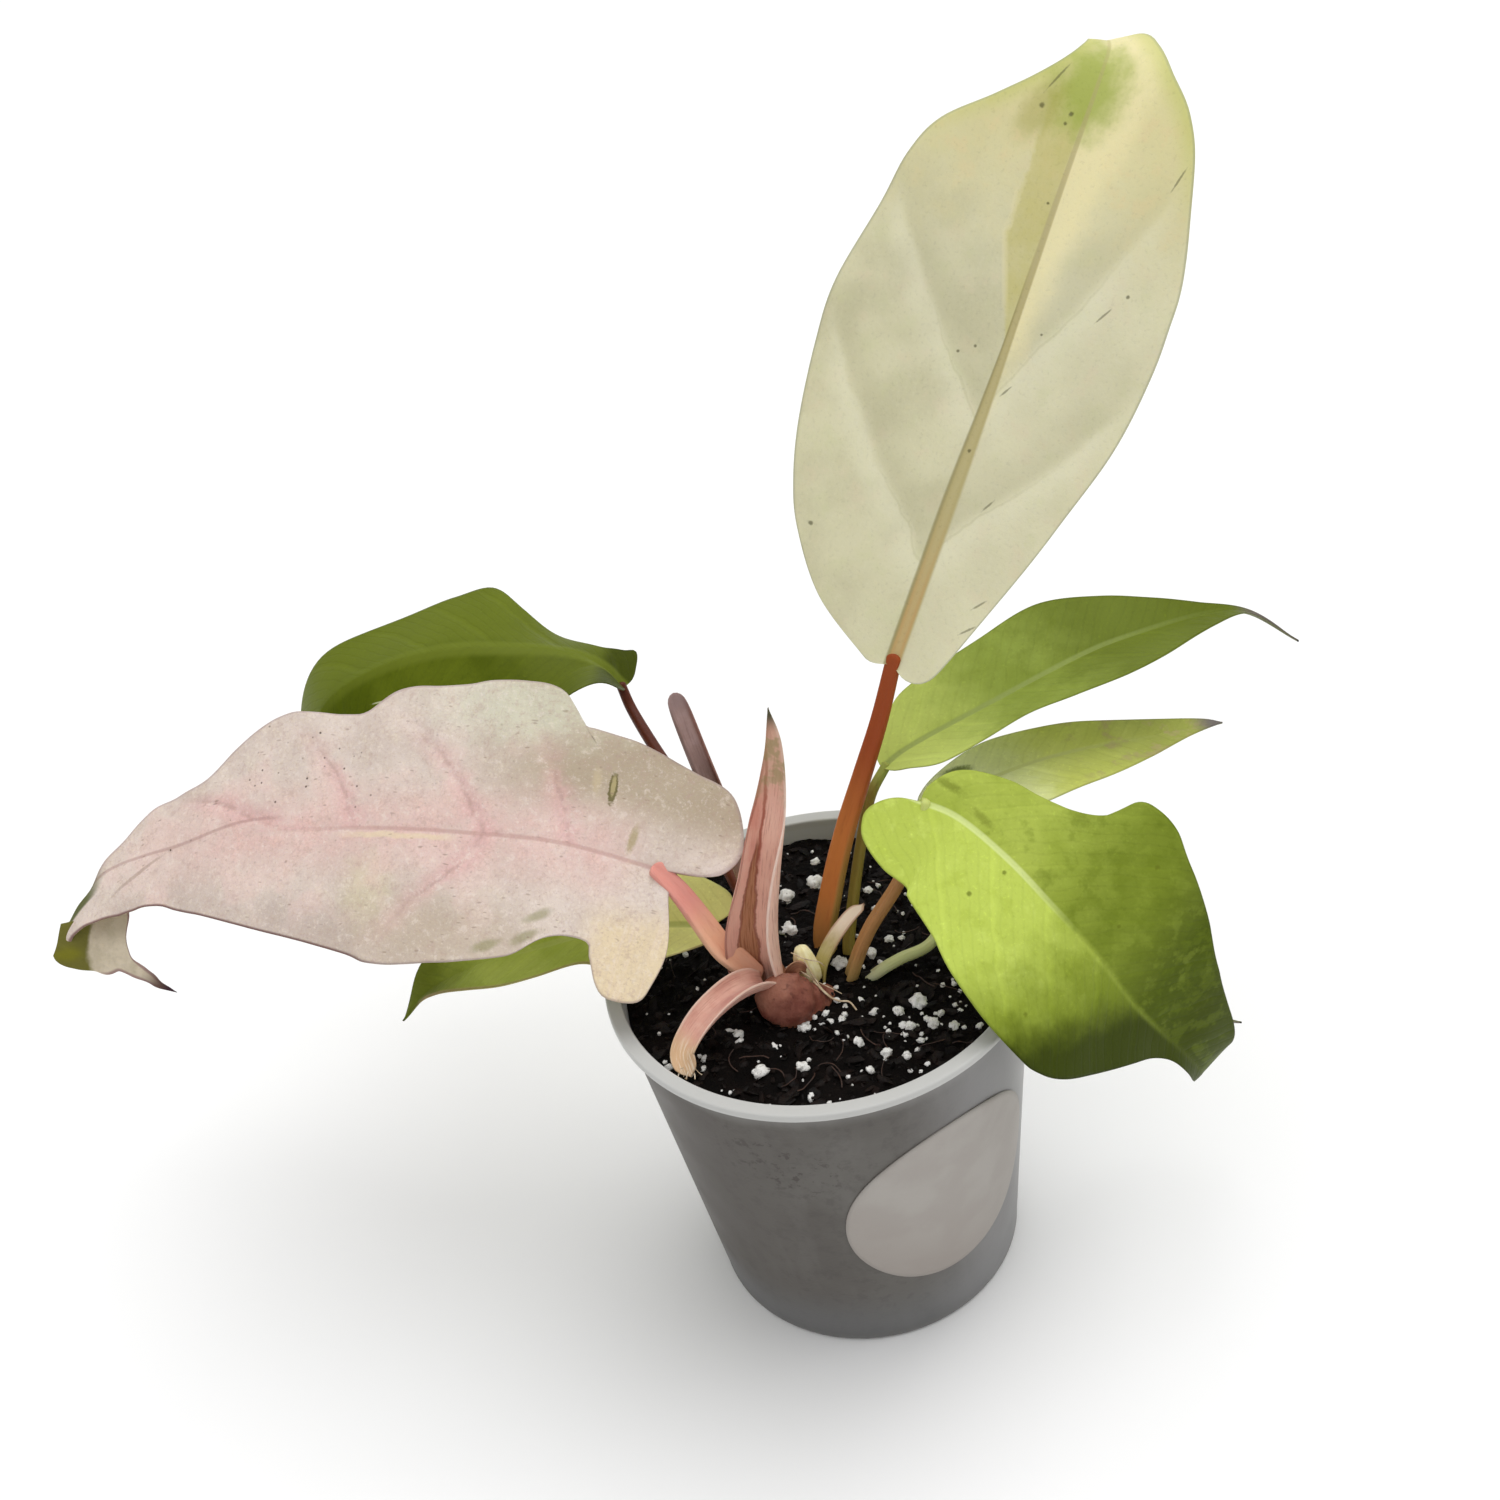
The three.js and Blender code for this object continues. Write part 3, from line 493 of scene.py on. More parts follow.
class Look:
    """A material and the nodes that it is made of. Lengths are in millimetres."""

    def __init__(self, name):
        self.material = bpy.data.materials.new(name)
        self.material.use_nodes = True
        self.nodes = self.material.node_tree.nodes
        self.links = self.material.node_tree.links
        self.shader = self.nodes["Principled BSDF"]
        self.colour = None

    def feed(self, socket, value):
        """Links a wire to a socket, or sets the socket to a value."""
        if isinstance(value, Wire):
            self.links.new(value.socket, socket)
        else:
            socket.default_value = value

    def node(self, kind, inputs, **settings):
        """A new node. inputs are by name or number."""
        made = self.nodes.new(kind)
        for key, value in settings.items():
            setattr(made, key, value)
        for key, value in inputs.items():
            self.feed(made.inputs[key], value)
        return made

    def wire(self, kind, inputs, output=0, **settings):
        """An output of a new node."""
        return Wire(self, self.node(kind, inputs, **settings).outputs[output])

    def known(self, name, output):
        """What the points of a leaf or stalk know."""
        settings = {"attribute_type": "GEOMETRY", "attribute_name": name}
        return self.wire("ShaderNodeAttribute", {}, output, **settings)

    def place(self):
        """The place in the part's own frame, as a vector."""
        return self.scaled(self.wire("ShaderNodeTexCoord", {}, "Object"), (1 / MM,) * 3)

    def scaled(self, vector, factors):
        return self.wire("ShaderNodeVectorMath", {0: vector, 1: factors}, operation="MULTIPLY")

    def parts(self, vector):
        """The x, y and z of a vector."""
        return [Wire(self, output) for output in self.node("ShaderNodeSeparateXYZ", {0: vector}).outputs]

    def combined(self, x, y, z):
        return self.wire("ShaderNodeCombineXYZ", {0: x, 1: y, 2: z})

    def noise(self, vector, size, detail=2.0, roughness=0.5, output="Fac"):
        """Cloudy values about 0.5, with clouds of a size."""
        inputs = {"Vector": vector, "Scale": 1 / size, "Detail": detail, "Roughness": roughness}
        return self.wire("ShaderNodeTexNoise", inputs, output)

    def cells(self, vector, size, feature="F1"):
        """Distance from the middle or the edge of scattered cells, and a random value for each cell."""
        made = self.node("ShaderNodeTexVoronoi", {"Vector": vector, "Scale": 1 / size}, feature=feature)
        distance = Wire(self, made.outputs["Distance"]) * size
        if feature != "F1":
            return distance
        return distance, self.parts(Wire(self, made.outputs["Color"]))[0]

    def specks(self, vector, apart, radius, kept):
        """1 on small round specks, in about a kept share of cells of a size."""
        distance, chance = self.cells(vector, apart)
        return distance.smooth(radius, 0.4 * radius) * chance.smooth(1 - kept, 1 - kept + 0.02)

    def mix(self, share, first, second):
        """A blend of two colours, each a wire or a #rrggbb code."""
        first, second = [tint(side) if isinstance(side, str) else side for side in (first, second)]
        return self.wire("ShaderNodeMix", {0: share, 6: first, 7: second}, 2, data_type="RGBA")

    def warped(self, vector, size, reach):
        """The vector pushed about by noise of a size."""
        push = self.scaled(self.noise(vector, size, output="Color"), (reach, reach, 0))
        return self.wire("ShaderNodeVectorMath", {0: vector, 1: push}, operation="ADD")

    def ground(self, share, first, second):
        """Starts the colour as a blend of two."""
        self.colour = self.mix(share, first, second)

    def paint(self, share, colour):
        """Lays a colour over what is painted so far."""
        self.colour = self.mix(share, self.colour, colour)

    def shade(self, share, factor):
        """Makes what is painted so far lighter or darker by a factor."""
        self.colour = self.mix(share, self.colour, self.scaled(self.colour, (factor,) * 3))

    def spot(self, x, y, middle, reach, edge=0.5, turn=0, rag=None):
        """1 inside an oval spot on the flat leaf, 0 outside it. rag is a wire that frets its outline."""
        angle = math.radians(turn)
        dx, dy = x - middle[0], y - middle[1]
        along = (dx * math.cos(angle) + dy * math.sin(angle)) / reach[0]
        across = (dy * math.cos(angle) - dx * math.sin(angle)) / reach[1]
        away = (along * along + across * across).power(0.5)
        if rag:
            away = away + (rag - 0.5) * 1.2
        return away.smooth(1 + edge, 1 - edge)

    def finish(self, roughness, height=None, depth=0, specular=0.5, glow=None):
        """Feeds the shader. height is 0 to 1, and depth what 1 is in millimetres.

        glow is how much light goes under the skin, how deep, and how far its red, green and blue go.
        """
        shader = self.shader.inputs
        self.feed(shader["Base Color"], self.colour)
        self.feed(shader["Roughness"], roughness)
        shader["Specular IOR Level"].default_value = specular
        if height:
            bump = self.wire("ShaderNodeBump", {"Distance": depth * MM, "Height": height})
            self.feed(shader["Normal"], bump)
        if glow:
            weight, reach, share = glow
            shader["Subsurface Weight"].default_value = weight
            shader["Subsurface Scale"].default_value = reach * MM
            shader["Subsurface Radius"].default_value = share
        return self.material


# Looks of the leaves. Lateral veins lean to the tip and bend, and side 1's lie between side 0's.
VEIN_LEAN = 0.8
VEIN_BEND = 0.008
VEIN_OFFSET = 0.42


class LeafLook(Look):
    """A leaf's material.

    x runs along the midrib, y is negative on side 0 and out is its size, edge is how far in from the
    margin a place is, and under is 1 on the underside.
    """

    def __init__(self, name):
        super().__init__(name)
        self.at = self.known("flat", "Vector")
        self.x, self.y, face = self.parts(self.at)
        self.out = self.y.size()
        self.edge = self.known("inward", "Fac")
        self.clouds = self.noise(self.at, 15, 3)
        self.patches = self.noise(self.at, 4.5, 3, 0.6)
        self.grain = self.noise(self.at, 0.9, 4, 0.68)
        self.under = face.smooth(0.2, -0.2)

    def past(self, vein):
        """How far a place is past a lateral vein towards the tip, and 1 on the vein's side."""
        start, lean, side = vein
        bent = self.out * lean + self.out * self.out * VEIN_BEND
        frayed = (self.clouds - 0.5) * 8 + (self.patches - 0.5) * 2
        apart = (self.x - bent - start + frayed) / math.hypot(1, lean)
        return apart, (self.y * side).smooth(-0.1, 0.4) * self.edge.smooth(0, 6)

    def veins(self, spacing, width, wobble):
        """1 on lateral veins, which leave the midrib in turn on either side and lean to the tip."""
        other_side = self.y.smooth(-0.01, 0.01) * VEIN_OFFSET
        along = self.x - self.out * VEIN_LEAN - self.out * self.out * VEIN_BEND + (wobble - 0.5) * 3
        away = ((along / spacing + other_side).fraction() - 0.5).size() * spacing
        return away.smooth(width, 0)

    def along(self, begin, end, fray):
        """0 to 1 between two lengths along the leaf, with a patchy border that reaches fray at most."""
        return (self.x + self.patches * fray).smooth(begin, end)

    def mark(self, middle, reach, turn=0, edge=0.5, rag=None):
        """1 inside an oval mark."""
        return self.spot(self.x, self.y, middle, reach, edge, turn, rag)

    def stroke(self, start, end, width):
        """1 on a straight scratch from one place to another."""
        along = end[0] - start[0], end[1] - start[1]
        middle = 0.5 * (start[0] + end[0]), 0.5 * (start[1] + end[1])
        turn = math.degrees(math.atan2(along[1], along[0]))
        return self.mark(middle, (0.5 * math.hypot(*along), 0.5 * width), turn, 0.4, self.grain)

    def shine(self, roughness, height, depth):
        """A satin finish, a little uneven."""
        uneven = roughness + (self.grain - 0.5) * 0.2
        return self.finish(uneven, height, depth, 0.06, glow=(0.1, 0.6, (1, 0.9, 0.4)))


# Lateral veins: where each leaves the midrib, its lean to the tip, and its side
CREAM_VEINS = ((21.8, 0.85, -1), (52, 1.0, -1), (26, 1.1, 1), (56.2, 1.9, 1))
PINK_VEINS = ((39.5, 0.68, 1), (71, 0.49, 1), (90, 2.1, 1), (39.7, 0.75, -1), (21.4, 0.22, 1))

CREAM_SPECKS = (
    (113, -9, 0.5), (113, -3, 0.45), (111, -3.5, 0.35), (83.5, 20, 0.35), (46.2, 0, 0.35),
    (21.9, -25.7, 0.45), (72, 6, 0.25), (96, -1.5, 0.25), (66, -6, 0.3), (64, -9, 0.3),
)
CREAM_SCRATCHES = (
    ((77.3, 15.7), (80.4, 17.7)), ((104.4, 21.2), (108.6, 22.4)), ((16.6, 12), (19.2, 14.2)),
    ((11, 11.4), (13.6, 14)), ((116.5, -9), (122, -6.5)), ((36, 7), (38.4, 8.4)),
    ((58.4, 2.2), (60.6, 3.6)),
)
BROAD_SPECKS = (
    (20.3, 11.4, 0.5), (22.8, 2.7, 0.45), (44.8, -21.3, 0.5), (44.3, 20.8, 0.45), (47.9, -7.2, 0.4),
)


def cream_look():
    """Cream, with an olive rib, a tan wedge left of it and a yellow-green tip."""
    look = LeafLook("cream_leaf")
    paint, mark = look.paint, look.mark
    x, y, out, edge, patches, grain = look.x, look.y, look.out, look.edge, look.patches, look.grain
    tone = look.noise(look.at, 7, 4, 0.65)
    look.ground(look.clouds.smooth(0.36, 0.64), "#ccc8a6", "#d8d4b2")
    # Painted light: the right half is lighter
    paint(y.smooth(-2, 4) * 0.5, "#e0dcbc")
    paint(grain.smooth(0.5, 0.8) * 0.3, "#e4e1c4")
    paint(tone.smooth(0.52, 0.7) * 0.35, "#cfd0a4")
    paint(tone.smooth(0.46, 0.3) * 0.3, "#dccdb0")
    # Painted shade on the tip side of each lateral vein, painted light on its foot side, and a thin
    # painted shade line along the vein
    for vein in CREAM_VEINS:
        past, side = look.past(vein)
        paint(side * past.smooth(-0.5, 2.5) * past.smooth(12, 3) * 0.32, "#b9b592")
        paint(side * past.smooth(-9, -0.8) * past.smooth(1.2, -0.8) * 0.36, "#e8e5ca")
        paint(side * past.size().smooth(0.4, 0.1) * out.smooth(22, 8) * 0.2, "#aaa678")
    paint(look.along(84, 126, 14) * 0.75, "#e0d79c")
    paint(patches.smooth(0.5, 0.7) * x.smooth(84, 104) * 0.45, "#e2d0a2")
    # The warm band right of the rib
    band = y.smooth(0, 0.6) * (y - (x - 56) * 0.17 + (tone - 0.5) * 6).smooth(4, -3)
    paint(band * 0.75, "#f2e8b6")
    # The wedge left of the rib, with a pale line along its edge
    wedge_edge = y + ((x - 89.6) * 0.355 + 8.1).least(7.6 + (patches - 0.5) * 3)
    wedge = y.smooth(-0.2, -0.8) * wedge_edge.smooth(-0.5, 0.5)
    paint(wedge * x.smooth(124, 108) * (tone + 0.2), "#c8c07c")
    paint(wedge_edge.size().smooth(0.9, 0.3) * x.smooth(70, 80) * x.smooth(104, 94) * 0.4, "#e6deb2")
    paint(edge.smooth(4, 0) * look.along(100, 124, 10) * 0.6, "#c0c56a")
    paint(mark((119, -1), (9, 7), edge=0.6, rag=patches) * 0.85, "#a3b04f")
    paint(mark((112, -9), (6, 3), 20, 0.6, patches) * 0.5, "#a9a552")
    # The rib, whose half width goes from 1.75 to 0.35
    half = 1.75 - x.smooth(30, 78) * 0.95 - x.smooth(78, 138) * 0.45
    share = out / half
    paint(share.smooth(1.15, 0.6) * x.smooth(146, 60).power(0.5) * 0.95, "#b6aa78")
    paint(share.smooth(1, 0.5) * x.smooth(40, 6) * 0.9, "#c09f6a")
    paint(share.smooth(0.6, 0.1) * x.smooth(96, 60) * 0.35, "#c4b98a")
    flank = share.smooth(1.2, 0.9) * share.smooth(0.5, 0.9) * y.smooth(0.2, -0.2)
    paint(flank * x.smooth(90, 70) * 0.6, "#857a48")
    # Specks, scratches and the thin margin
    for u, v, size in CREAM_SPECKS:
        paint(mark((u, v), (size, size), rag=grain) * 0.7, "#4c4a2c")
    for start, end in CREAM_SCRATCHES:
        paint(look.stroke(start, end, 0.42) * 0.6, "#5e5c40")
    paint(look.specks(look.at, 6, 0.4, 0.25) * 0.35, "#7c7a5c")
    look.shade(grain.smooth(0.46, 0.3) * 0.6, 0.86)
    paint(edge.smooth(0.5, 0.15) * 0.4, "#99a088")
    paint(look.under * 0.5, "#c3c69c")
    return look.shine(0.46, grain * 0.4 + patches * 0.5, 0.16)


def pink_look():
    """Pink-beige, pinkest along the rib, with mauve lateral veins and many small brown flecks."""
    look = LeafLook("pink_leaf")
    paint, mark = look.paint, look.mark
    x, y, out, edge, patches, grain = look.x, look.y, look.out, look.edge, look.patches, look.grain
    fine = look.noise(look.at, 0.6, 4, 0.75)
    threads_of_colour = look.cells(look.warped(look.at, 1.6, 1.2), 1.3, "DISTANCE_TO_EDGE").smooth(0.3, 0)
    look.ground(look.clouds.smooth(0.36, 0.64), "#d2c3b8", "#dfd1c6")
    paint(patches.smooth(0.5, 0.75) * 0.45, "#e2d6c2")
    # Beige, olive and tan patches
    beige = y.smooth(3, 15) * look.along(64, 26, 14)
    paint(beige * 0.85, "#b0a188")
    paint(mark((36, 29), (18, 7), 0, 0.7, patches) * 0.65, "#d8d9c2")
    paint(mark((79, -22), (15, 6), 5, 0.8, patches) * 0.3, "#a3938b")
    paint(edge.smooth(9, 2) * y.smooth(-4, -9) * x.smooth(36, 50) * 0.3, "#b8a9a0")
    paint(mark((66, -14), (6, 7), 0, 0.7, patches) * 0.5, "#d2c9a2")
    paint(mark((48, -23), (20, 8), 0, 0.8, patches) * 0.55, "#b5a58c")
    # Pink along the rib and halfway out
    pink = out.smooth(15, 1) * x.smooth(145, 100) * x.smooth(0, 14)
    paint(pink * (patches * 1.3).least(1) * 0.8, "#e4bab4")
    paint(look.clouds.smooth(0.5, 0.6) * out.smooth(26, 14) * x.smooth(24, 44) * 0.35, "#e3c2ba")
    # The streaked cream lobe at the left of the foot
    lobe = (y + patches * 5).smooth(-4, -13) * look.along(18, 7, 6)
    streaks = look.noise(look.scaled(look.at, (2.2, 0.2, 1)), 2.2, 3)
    paint(lobe * (0.6 + streaks * 0.6), "#e5d2ae")
    paint(lobe * streaks.smooth(0.5, 0.7) * 0.4, "#ead9d0")
    for vein in PINK_VEINS:
        past, side = look.past(vein)
        glow = side * past.size().smooth(5, 0.3) * out.smooth(30, 8)
        paint(glow * patches.smooth(0.2, 0.55) * 0.55, "#deb0ae")
        line = side * past.size().smooth(0.9, 0.1) * out.smooth(28, 10)
        paint(line * patches.smooth(0.35, 0.6) * 0.35, "#9d8077")
    # Fine mottling
    paint(threads_of_colour * patches.smooth(0.3, 0.65) * 0.18, "#b0958b")
    mottle = look.noise(look.warped(look.at, 3, 2), 1.8, 4, 0.7)
    paint(mottle.smooth(0.54, 0.66) * 0.32, "#b89d93")
    paint(mottle.smooth(0.46, 0.34) * 0.32, "#eee2d8")
    paint(fine.smooth(0.56, 0.7) * 0.4, "#ab9184")
    paint(fine.smooth(0.44, 0.3) * 0.35, "#efe4da")
    # The rib, which winds a little to the tip
    paint(out.smooth(0.7, 0.2) * x.smooth(102, 60) * 0.5, "#b88f88")
    strip = (y + 1.5 + (patches - 0.5) * 2).size().smooth(0.9, 0.3) * x.smooth(44, 52) * x.smooth(78, 66)
    paint(strip * 0.5, "#e6d7ae")
    centre = ((x - 85) * (2 * math.pi / 44)).sine() * 1.2 + 2.2
    paint((y - centre).size().smooth(0.6, 0.15) * x.smooth(88, 98) * 0.5, "#a9857f")
    paint(look.stroke((123.7, 0.3), (139.5, -3.1), 0.9) * 0.5, "#a08a7c")
    # Scars and flecks near the foot, then dark dust over the middle and the tip
    paint(mark((15, 14), (0.9, 3.4), -8, 0.2, grain) * 0.85, "#5f5a28")
    paint(mark((15.1, 14.6), (0.45, 2.3), -8, 0.3, grain) * 0.8, "#b9ab80")
    paint(mark((18.5, 15), (0.8, 2.6), -8, 0.6, grain) * 0.35, "#d6c49c")
    paint(mark((7.5, 4.7), (0.9, 2.8), 0, 0.5, grain) * 0.6, "#9c8f58")
    for u, v, length in ((23.8, -16.5, 3.6), (25.4, -21, 3.4), (34.9, -24, 3)):
        paint(mark((u, v), (length, 1.1), -25, 0.5, patches) * 0.6, "#8f8c60")
    dusted = mark((84, 15), (17, 13), 0, 0.7).most(mark((110, 1), (18, 4), 0, 0.7))
    paint(look.specks(look.at, 1.9, 0.36, 0.32) * (dusted + 0.2).least(1) * 0.9, "#4d3c33")
    scribbles = look.specks(look.warped(look.scaled(look.at, (0.55, 1.5, 1)), 2.5, 1.5), 1.6, 0.4, 0.32)
    paint(scribbles * look.clouds.smooth(0.38, 0.56) * 0.5, "#8c7466")
    # The margin
    paint(edge.smooth(0.55, 0.15) * 0.45, "#a48f92")
    paint(edge.smooth(0.6, 0.15) * y.smooth(0, -1) * x.smooth(56, 70) * 0.8, "#735049")
    paint(edge.smooth(2.2, 0.7) * y.smooth(0, 0.5) * x.smooth(138, 147) * 0.9, "#4e5822")
    paint(look.under * 0.7, "#b5ab8c")
    return look.shine(0.5, grain * 0.6 + patches * 0.9, 0.22)


def pink_tip_look():
    """The underside of the folded tip: olive at the corner, tan beyond it, and dark at the drip end."""
    look = LeafLook("pink_leaf_tip")
    x, y, patches, grain = look.x, look.y, look.patches, look.grain
    look.ground(patches.smooth(0.35, 0.65), "#bdb19a", "#cfc2ac")
    look.paint(grain.smooth(0.5, 0.8) * 0.3, "#988f72")
    look.paint((y + patches * 3).smooth(5, 10) * 0.4, "#978a70")
    look.paint((x + y * 0.4 + patches * 2.5).smooth(10.5, 8.5), "#6b6730")
    look.paint(look.mark((3.2, -1), (3.2, 1.6), 30, 0.7, patches) * 0.6, "#7f7d1c")
    look.paint(look.edge.smooth(0.9, 0.3) * x.smooth(10, 14) * 0.8, "#8a6a6a")
    look.paint(x.smooth(21, 29), "#5c463f")
    look.paint(x.smooth(28, 31), "#3c2830")
    return look.shine(0.5, grain, 0.15)


def green_ground(name, base, light, dark):
    """The start of a green leaf: soft clouds and darker patches."""
    look = LeafLook(name)
    look.ground(look.clouds.smooth(0.35, 0.65), base, light)
    look.paint(look.patches.smooth(0.5, 0.8) * 0.4, dark)
    return look


def green_finish(look, rib, rib_colour, spotted):
    """Faint side veins, the rib, specks and the pale underside.

    rib is half the rib's width, and where it begins and ends to fade.
    """
    wobble = look.noise(look.at, 7)
    main = look.veins(16, 1.6, wobble)
    minor = look.veins(3.2, 0.6, wobble)
    look.shade(main * look.edge.smooth(0, 5) * 0.25, 1.3)
    look.shade(minor * 0.4, 0.88)
    look.shade(look.grain.smooth(0.55, 0.75) * 0.6, 1.3)
    look.shade(look.grain.smooth(0.45, 0.25) * 0.6, 0.78)
    width, begin, end = rib
    pale = look.out.smooth(width, 0.45 * width) * look.x.smooth(end, begin)
    look.paint(pale * 0.75, rib_colour)
    look.paint(look.specks(look.at, 5, 0.42, spotted) * 0.6, "#4c5216")
    look.shade(look.edge.smooth(0.5, 0.1) * 0.6, 0.7)
    look.paint(look.under * 0.35, "#8a9658")
    return look.shine(0.42, look.grain * 0.3 + look.patches * 0.4 - main * 0.4 - minor * 0.2, 0.14)


def dark_look():
    """Deep green, with painted shade on its left towards the tip, where that side folds down."""
    look = green_ground("dark_leaf", "#4f5b06", "#5c6812", "#465204")
    x, y, patches = look.x, look.y, look.patches
    look.paint((y + patches * 6).smooth(0, 9) * 0.7, "#67721e")
    # Painted shade where the left side folds down towards the tip
    look.paint(look.along(60, 100, 10) * y.smooth(2, -4) * 0.7, "#404c02")
    look.paint(x.smooth(36, 14) * 0.6, "#59621c")
    look.paint(x.smooth(10, 6) * 0.8, "#353d02")
    look.paint(look.stroke((62, -9), (67, -8), 0.4) * 0.8, "#c4c8a4")
    return green_finish(look, (3, 40, 100), "#6b7624", 0.04)


def low_look():
    """Pale yellow at the foot, partly painted light, through bright green, to a dark tip."""
    look = green_ground("low_leaf", "#aabd4e", "#b8c95e", "#9aae40")
    # The pale foot: partly the leaf's own colour and partly painted light where it is shaded
    look.paint(look.along(34, 12, 8) * 0.95, "#f2f6a0")
    look.paint(look.along(54, 74, 8) * 0.9, "#56600e")
    look.paint(look.edge.smooth(0.9, 0.2) * look.y.smooth(0, -2) * 0.6, "#b79c78")
    return green_finish(look, (1.2, 20, 60), "#c0cd78", 0.04)


def lance_look():
    """Yellow-green at the foot, partly painted light where the cream leaf shades it, and darker along its
    length, with a dry tip.
    """
    look = green_ground("lance_leaf", "#8c9c40", "#98a84c", "#7e8e32")
    # The pale foot: partly the leaf's own colour and partly painted light where the cream leaf shades it
    look.paint(look.along(40, 14, 14) * 0.9, "#c8d670")
    look.paint(look.along(40, 66, 14) * 0.9, "#66731f")
    look.paint(look.along(68, 90, 10) * 0.8, "#5a6610")
    look.paint(look.x.smooth(88, 96), "#6f6660")
    return green_finish(look, (1.1, 30, 96), "#9ba862", 0.08)


def slim_look():
    """Pale yellow-green with tan patches and a dry tip; its foot is paler still, partly its own colour
    and partly painted light.
    """
    look = green_ground("slim_leaf", "#c6cd68", "#d0d678", "#b6be58")
    x, patches = look.x, look.patches
    # The pale foot: partly the leaf's own colour and partly painted light where other leaves shade it
    look.paint(look.along(30, 8, 8) * 0.9, "#f2f6cc")
    look.paint(look.along(34, 56, 8) * 0.9, "#a2a853")
    look.paint(patches.smooth(0.52, 0.66) * x.smooth(24, 36) * 0.6, "#b9a87c")
    look.paint(look.mark((5, -6), (3, 1.2), 20, 0.5, look.grain) * 0.8, "#55641e")
    look.paint(x.smooth(56, 62), "#77706c")
    return green_finish(look, (0.8, 20, 50), "#ccd08a", 0.25)


def broad_look():
    """Green, with painted light where it faces the light, painted shade where it hangs, and a dry tail.
    """
    look = green_ground("broad_leaf", "#a4b448", "#b0bf54", "#94a53a")
    paint, mark = look.paint, look.mark
    tone = look.noise(look.at, 6, 4, 0.65)
    x, y, patches = look.x, look.y, look.patches
    near = y.smooth(-1, 1.5)
    far = y.smooth(1, -1)
    # Painted light on the near half's upper part, which faces the light
    paint(near * look.along(64, 34, 16) * 0.9, "#bfd05e")
    paint(near * x.smooth(14, 2) * 0.6, "#abbb4c")
    paint(near * tone.smooth(0.52, 0.66) * 0.4, "#cddd70")
    paint(near * tone.smooth(0.46, 0.34) * 0.4, "#aabb48")
    # Painted shade where the blade hangs: darkest at the near half's bottom and the far half's right
    paint(near * (x + y * 0.3 + patches * 14).smooth(40, 66) * 0.9, "#71811f")
    paint(near * look.edge.smooth(7, 1) * x.smooth(26, 40) * 0.5, "#7c8c24")
    paint(near * (x + y * 0.75 + patches * 8).smooth(62, 76) * 0.95, "#333d04")
    paint(far * (x - y * 0.35 + patches * 12).smooth(26, 56) * 0.85, "#6d7d20")
    paint(far * (x - y * 0.3 + patches * 12).smooth(56, 78) * 0.9, "#45520a")
    paint(far * tone.smooth(0.52, 0.64) * 0.25, "#96a640")
    paint(far * tone.smooth(0.46, 0.34) * 0.3, "#5f7016")
    # Painted shade towards the tail
    paint(look.along(74, 90, 8) * 0.8, "#3c4606")
    paint(far * patches.smooth(0.5, 0.62) * x.smooth(20, 40) * 0.3, "#6c7c20")
    for u, v, size in BROAD_SPECKS:
        paint(mark((u, v), (size, size), rag=look.grain) * 0.7, "#66701e")
    paint(mark((4.4, -5.3), (2.6, 0.9), 10, 0.6, look.grain) * 0.6, "#6f7a28")
    paint(mark((12.4, -2.9), (2.6, 0.8), 5, 0.6, look.grain) * 0.6, "#7c8630")
    paint(x.smooth(114, 121), "#8a827a")
    return green_finish(look, (0.9, 22, 44), "#dbe79c", 0.06)


# Relief of the blades


def waves(terms):
    """A low sum of waves over the flat leaf: each term is height, length along, length across, phase."""

    def height(x, y, v):
        total = 0
        for amount, along, across, phase in terms:
            total = total + amount * np.sin(2 * math.pi * (x / along + y / across) + phase)
        return total * v**1.5

    return height


def quilted(spacing, lean, bend, depth, width, swell):
    """Sunk lateral veins with the blade puffed between them, over a low swell."""

    def height(x, y, v):
        out = np.abs(y)
        phase = (x - lean * out - bend * out**2) / spacing + VEIN_OFFSET * (y > 0)
        away = np.abs(phase % 1 - 0.5) * spacing
        sunk = depth * np.exp(-((away / width) ** 2)) * np.clip(out / 4, 0, 1) * (1 - v**4)
        return swell(x, y, v) - sunk

    return height


def sunk(veins, depth, width, swell):
    """Sunk lateral veins over a low swell. A vein is its start on the midrib, its lean and its side."""

    def height(x, y, v):
        total = swell(x, y, v)
        for start, lean, side in veins:
            away = (x - start - lean * np.abs(y) - VEIN_BEND * y**2) / math.hypot(1, lean)
            sunk_here = depth * np.exp(-((away / width) ** 2))
            total = total - sunk_here * np.clip(side * y / 3, 0, 1) * (1 - v**4)
        return total

    return height


# The seven blades

CREAM = Blade(
    midrib=[
        (26, 20, 146), (41, 30, 171), (57, 41, 197), (72, 51, 223), (83, 59, 241), (88, 66, 247),
        (89, 74, 246), (88, 81, 240),
    ],
    face=(-0.37, -0.81, 0.44),
    left=[
        (0, 0), (-1, 4), (0, 7), (8, 19), (20, 28), (29, 32), (41, 35), (57, 37), (70, 37), (87, 33),
        (97, 31), (105, 27), (113, 18), (122, 9), (129, 5), (137, 3), (146, 0),
    ],
    right=[
        (0, 0), (-2, 4), (-1, 8), (4, 11), (21, 17), (38, 23), (54, 28), (70, 30), (80, 30), (90, 29),
        (109, 24), (118, 19), (124, 13), (130, 8), (137, 4), (146, 0),
    ],
    fold=((6, 4), (6, 4)),
    cup=((8, 8), (8, 8)),
    lobe=0.12, sweep=1.3, keel=1.2, keel_width=1.5, groove=0.3,
    relief=sunk(CREAM_VEINS, 0.28, 2.6, waves([(0.5, 62, 90, 0.4), (0.3, 31, -55, 2.0)])),
)

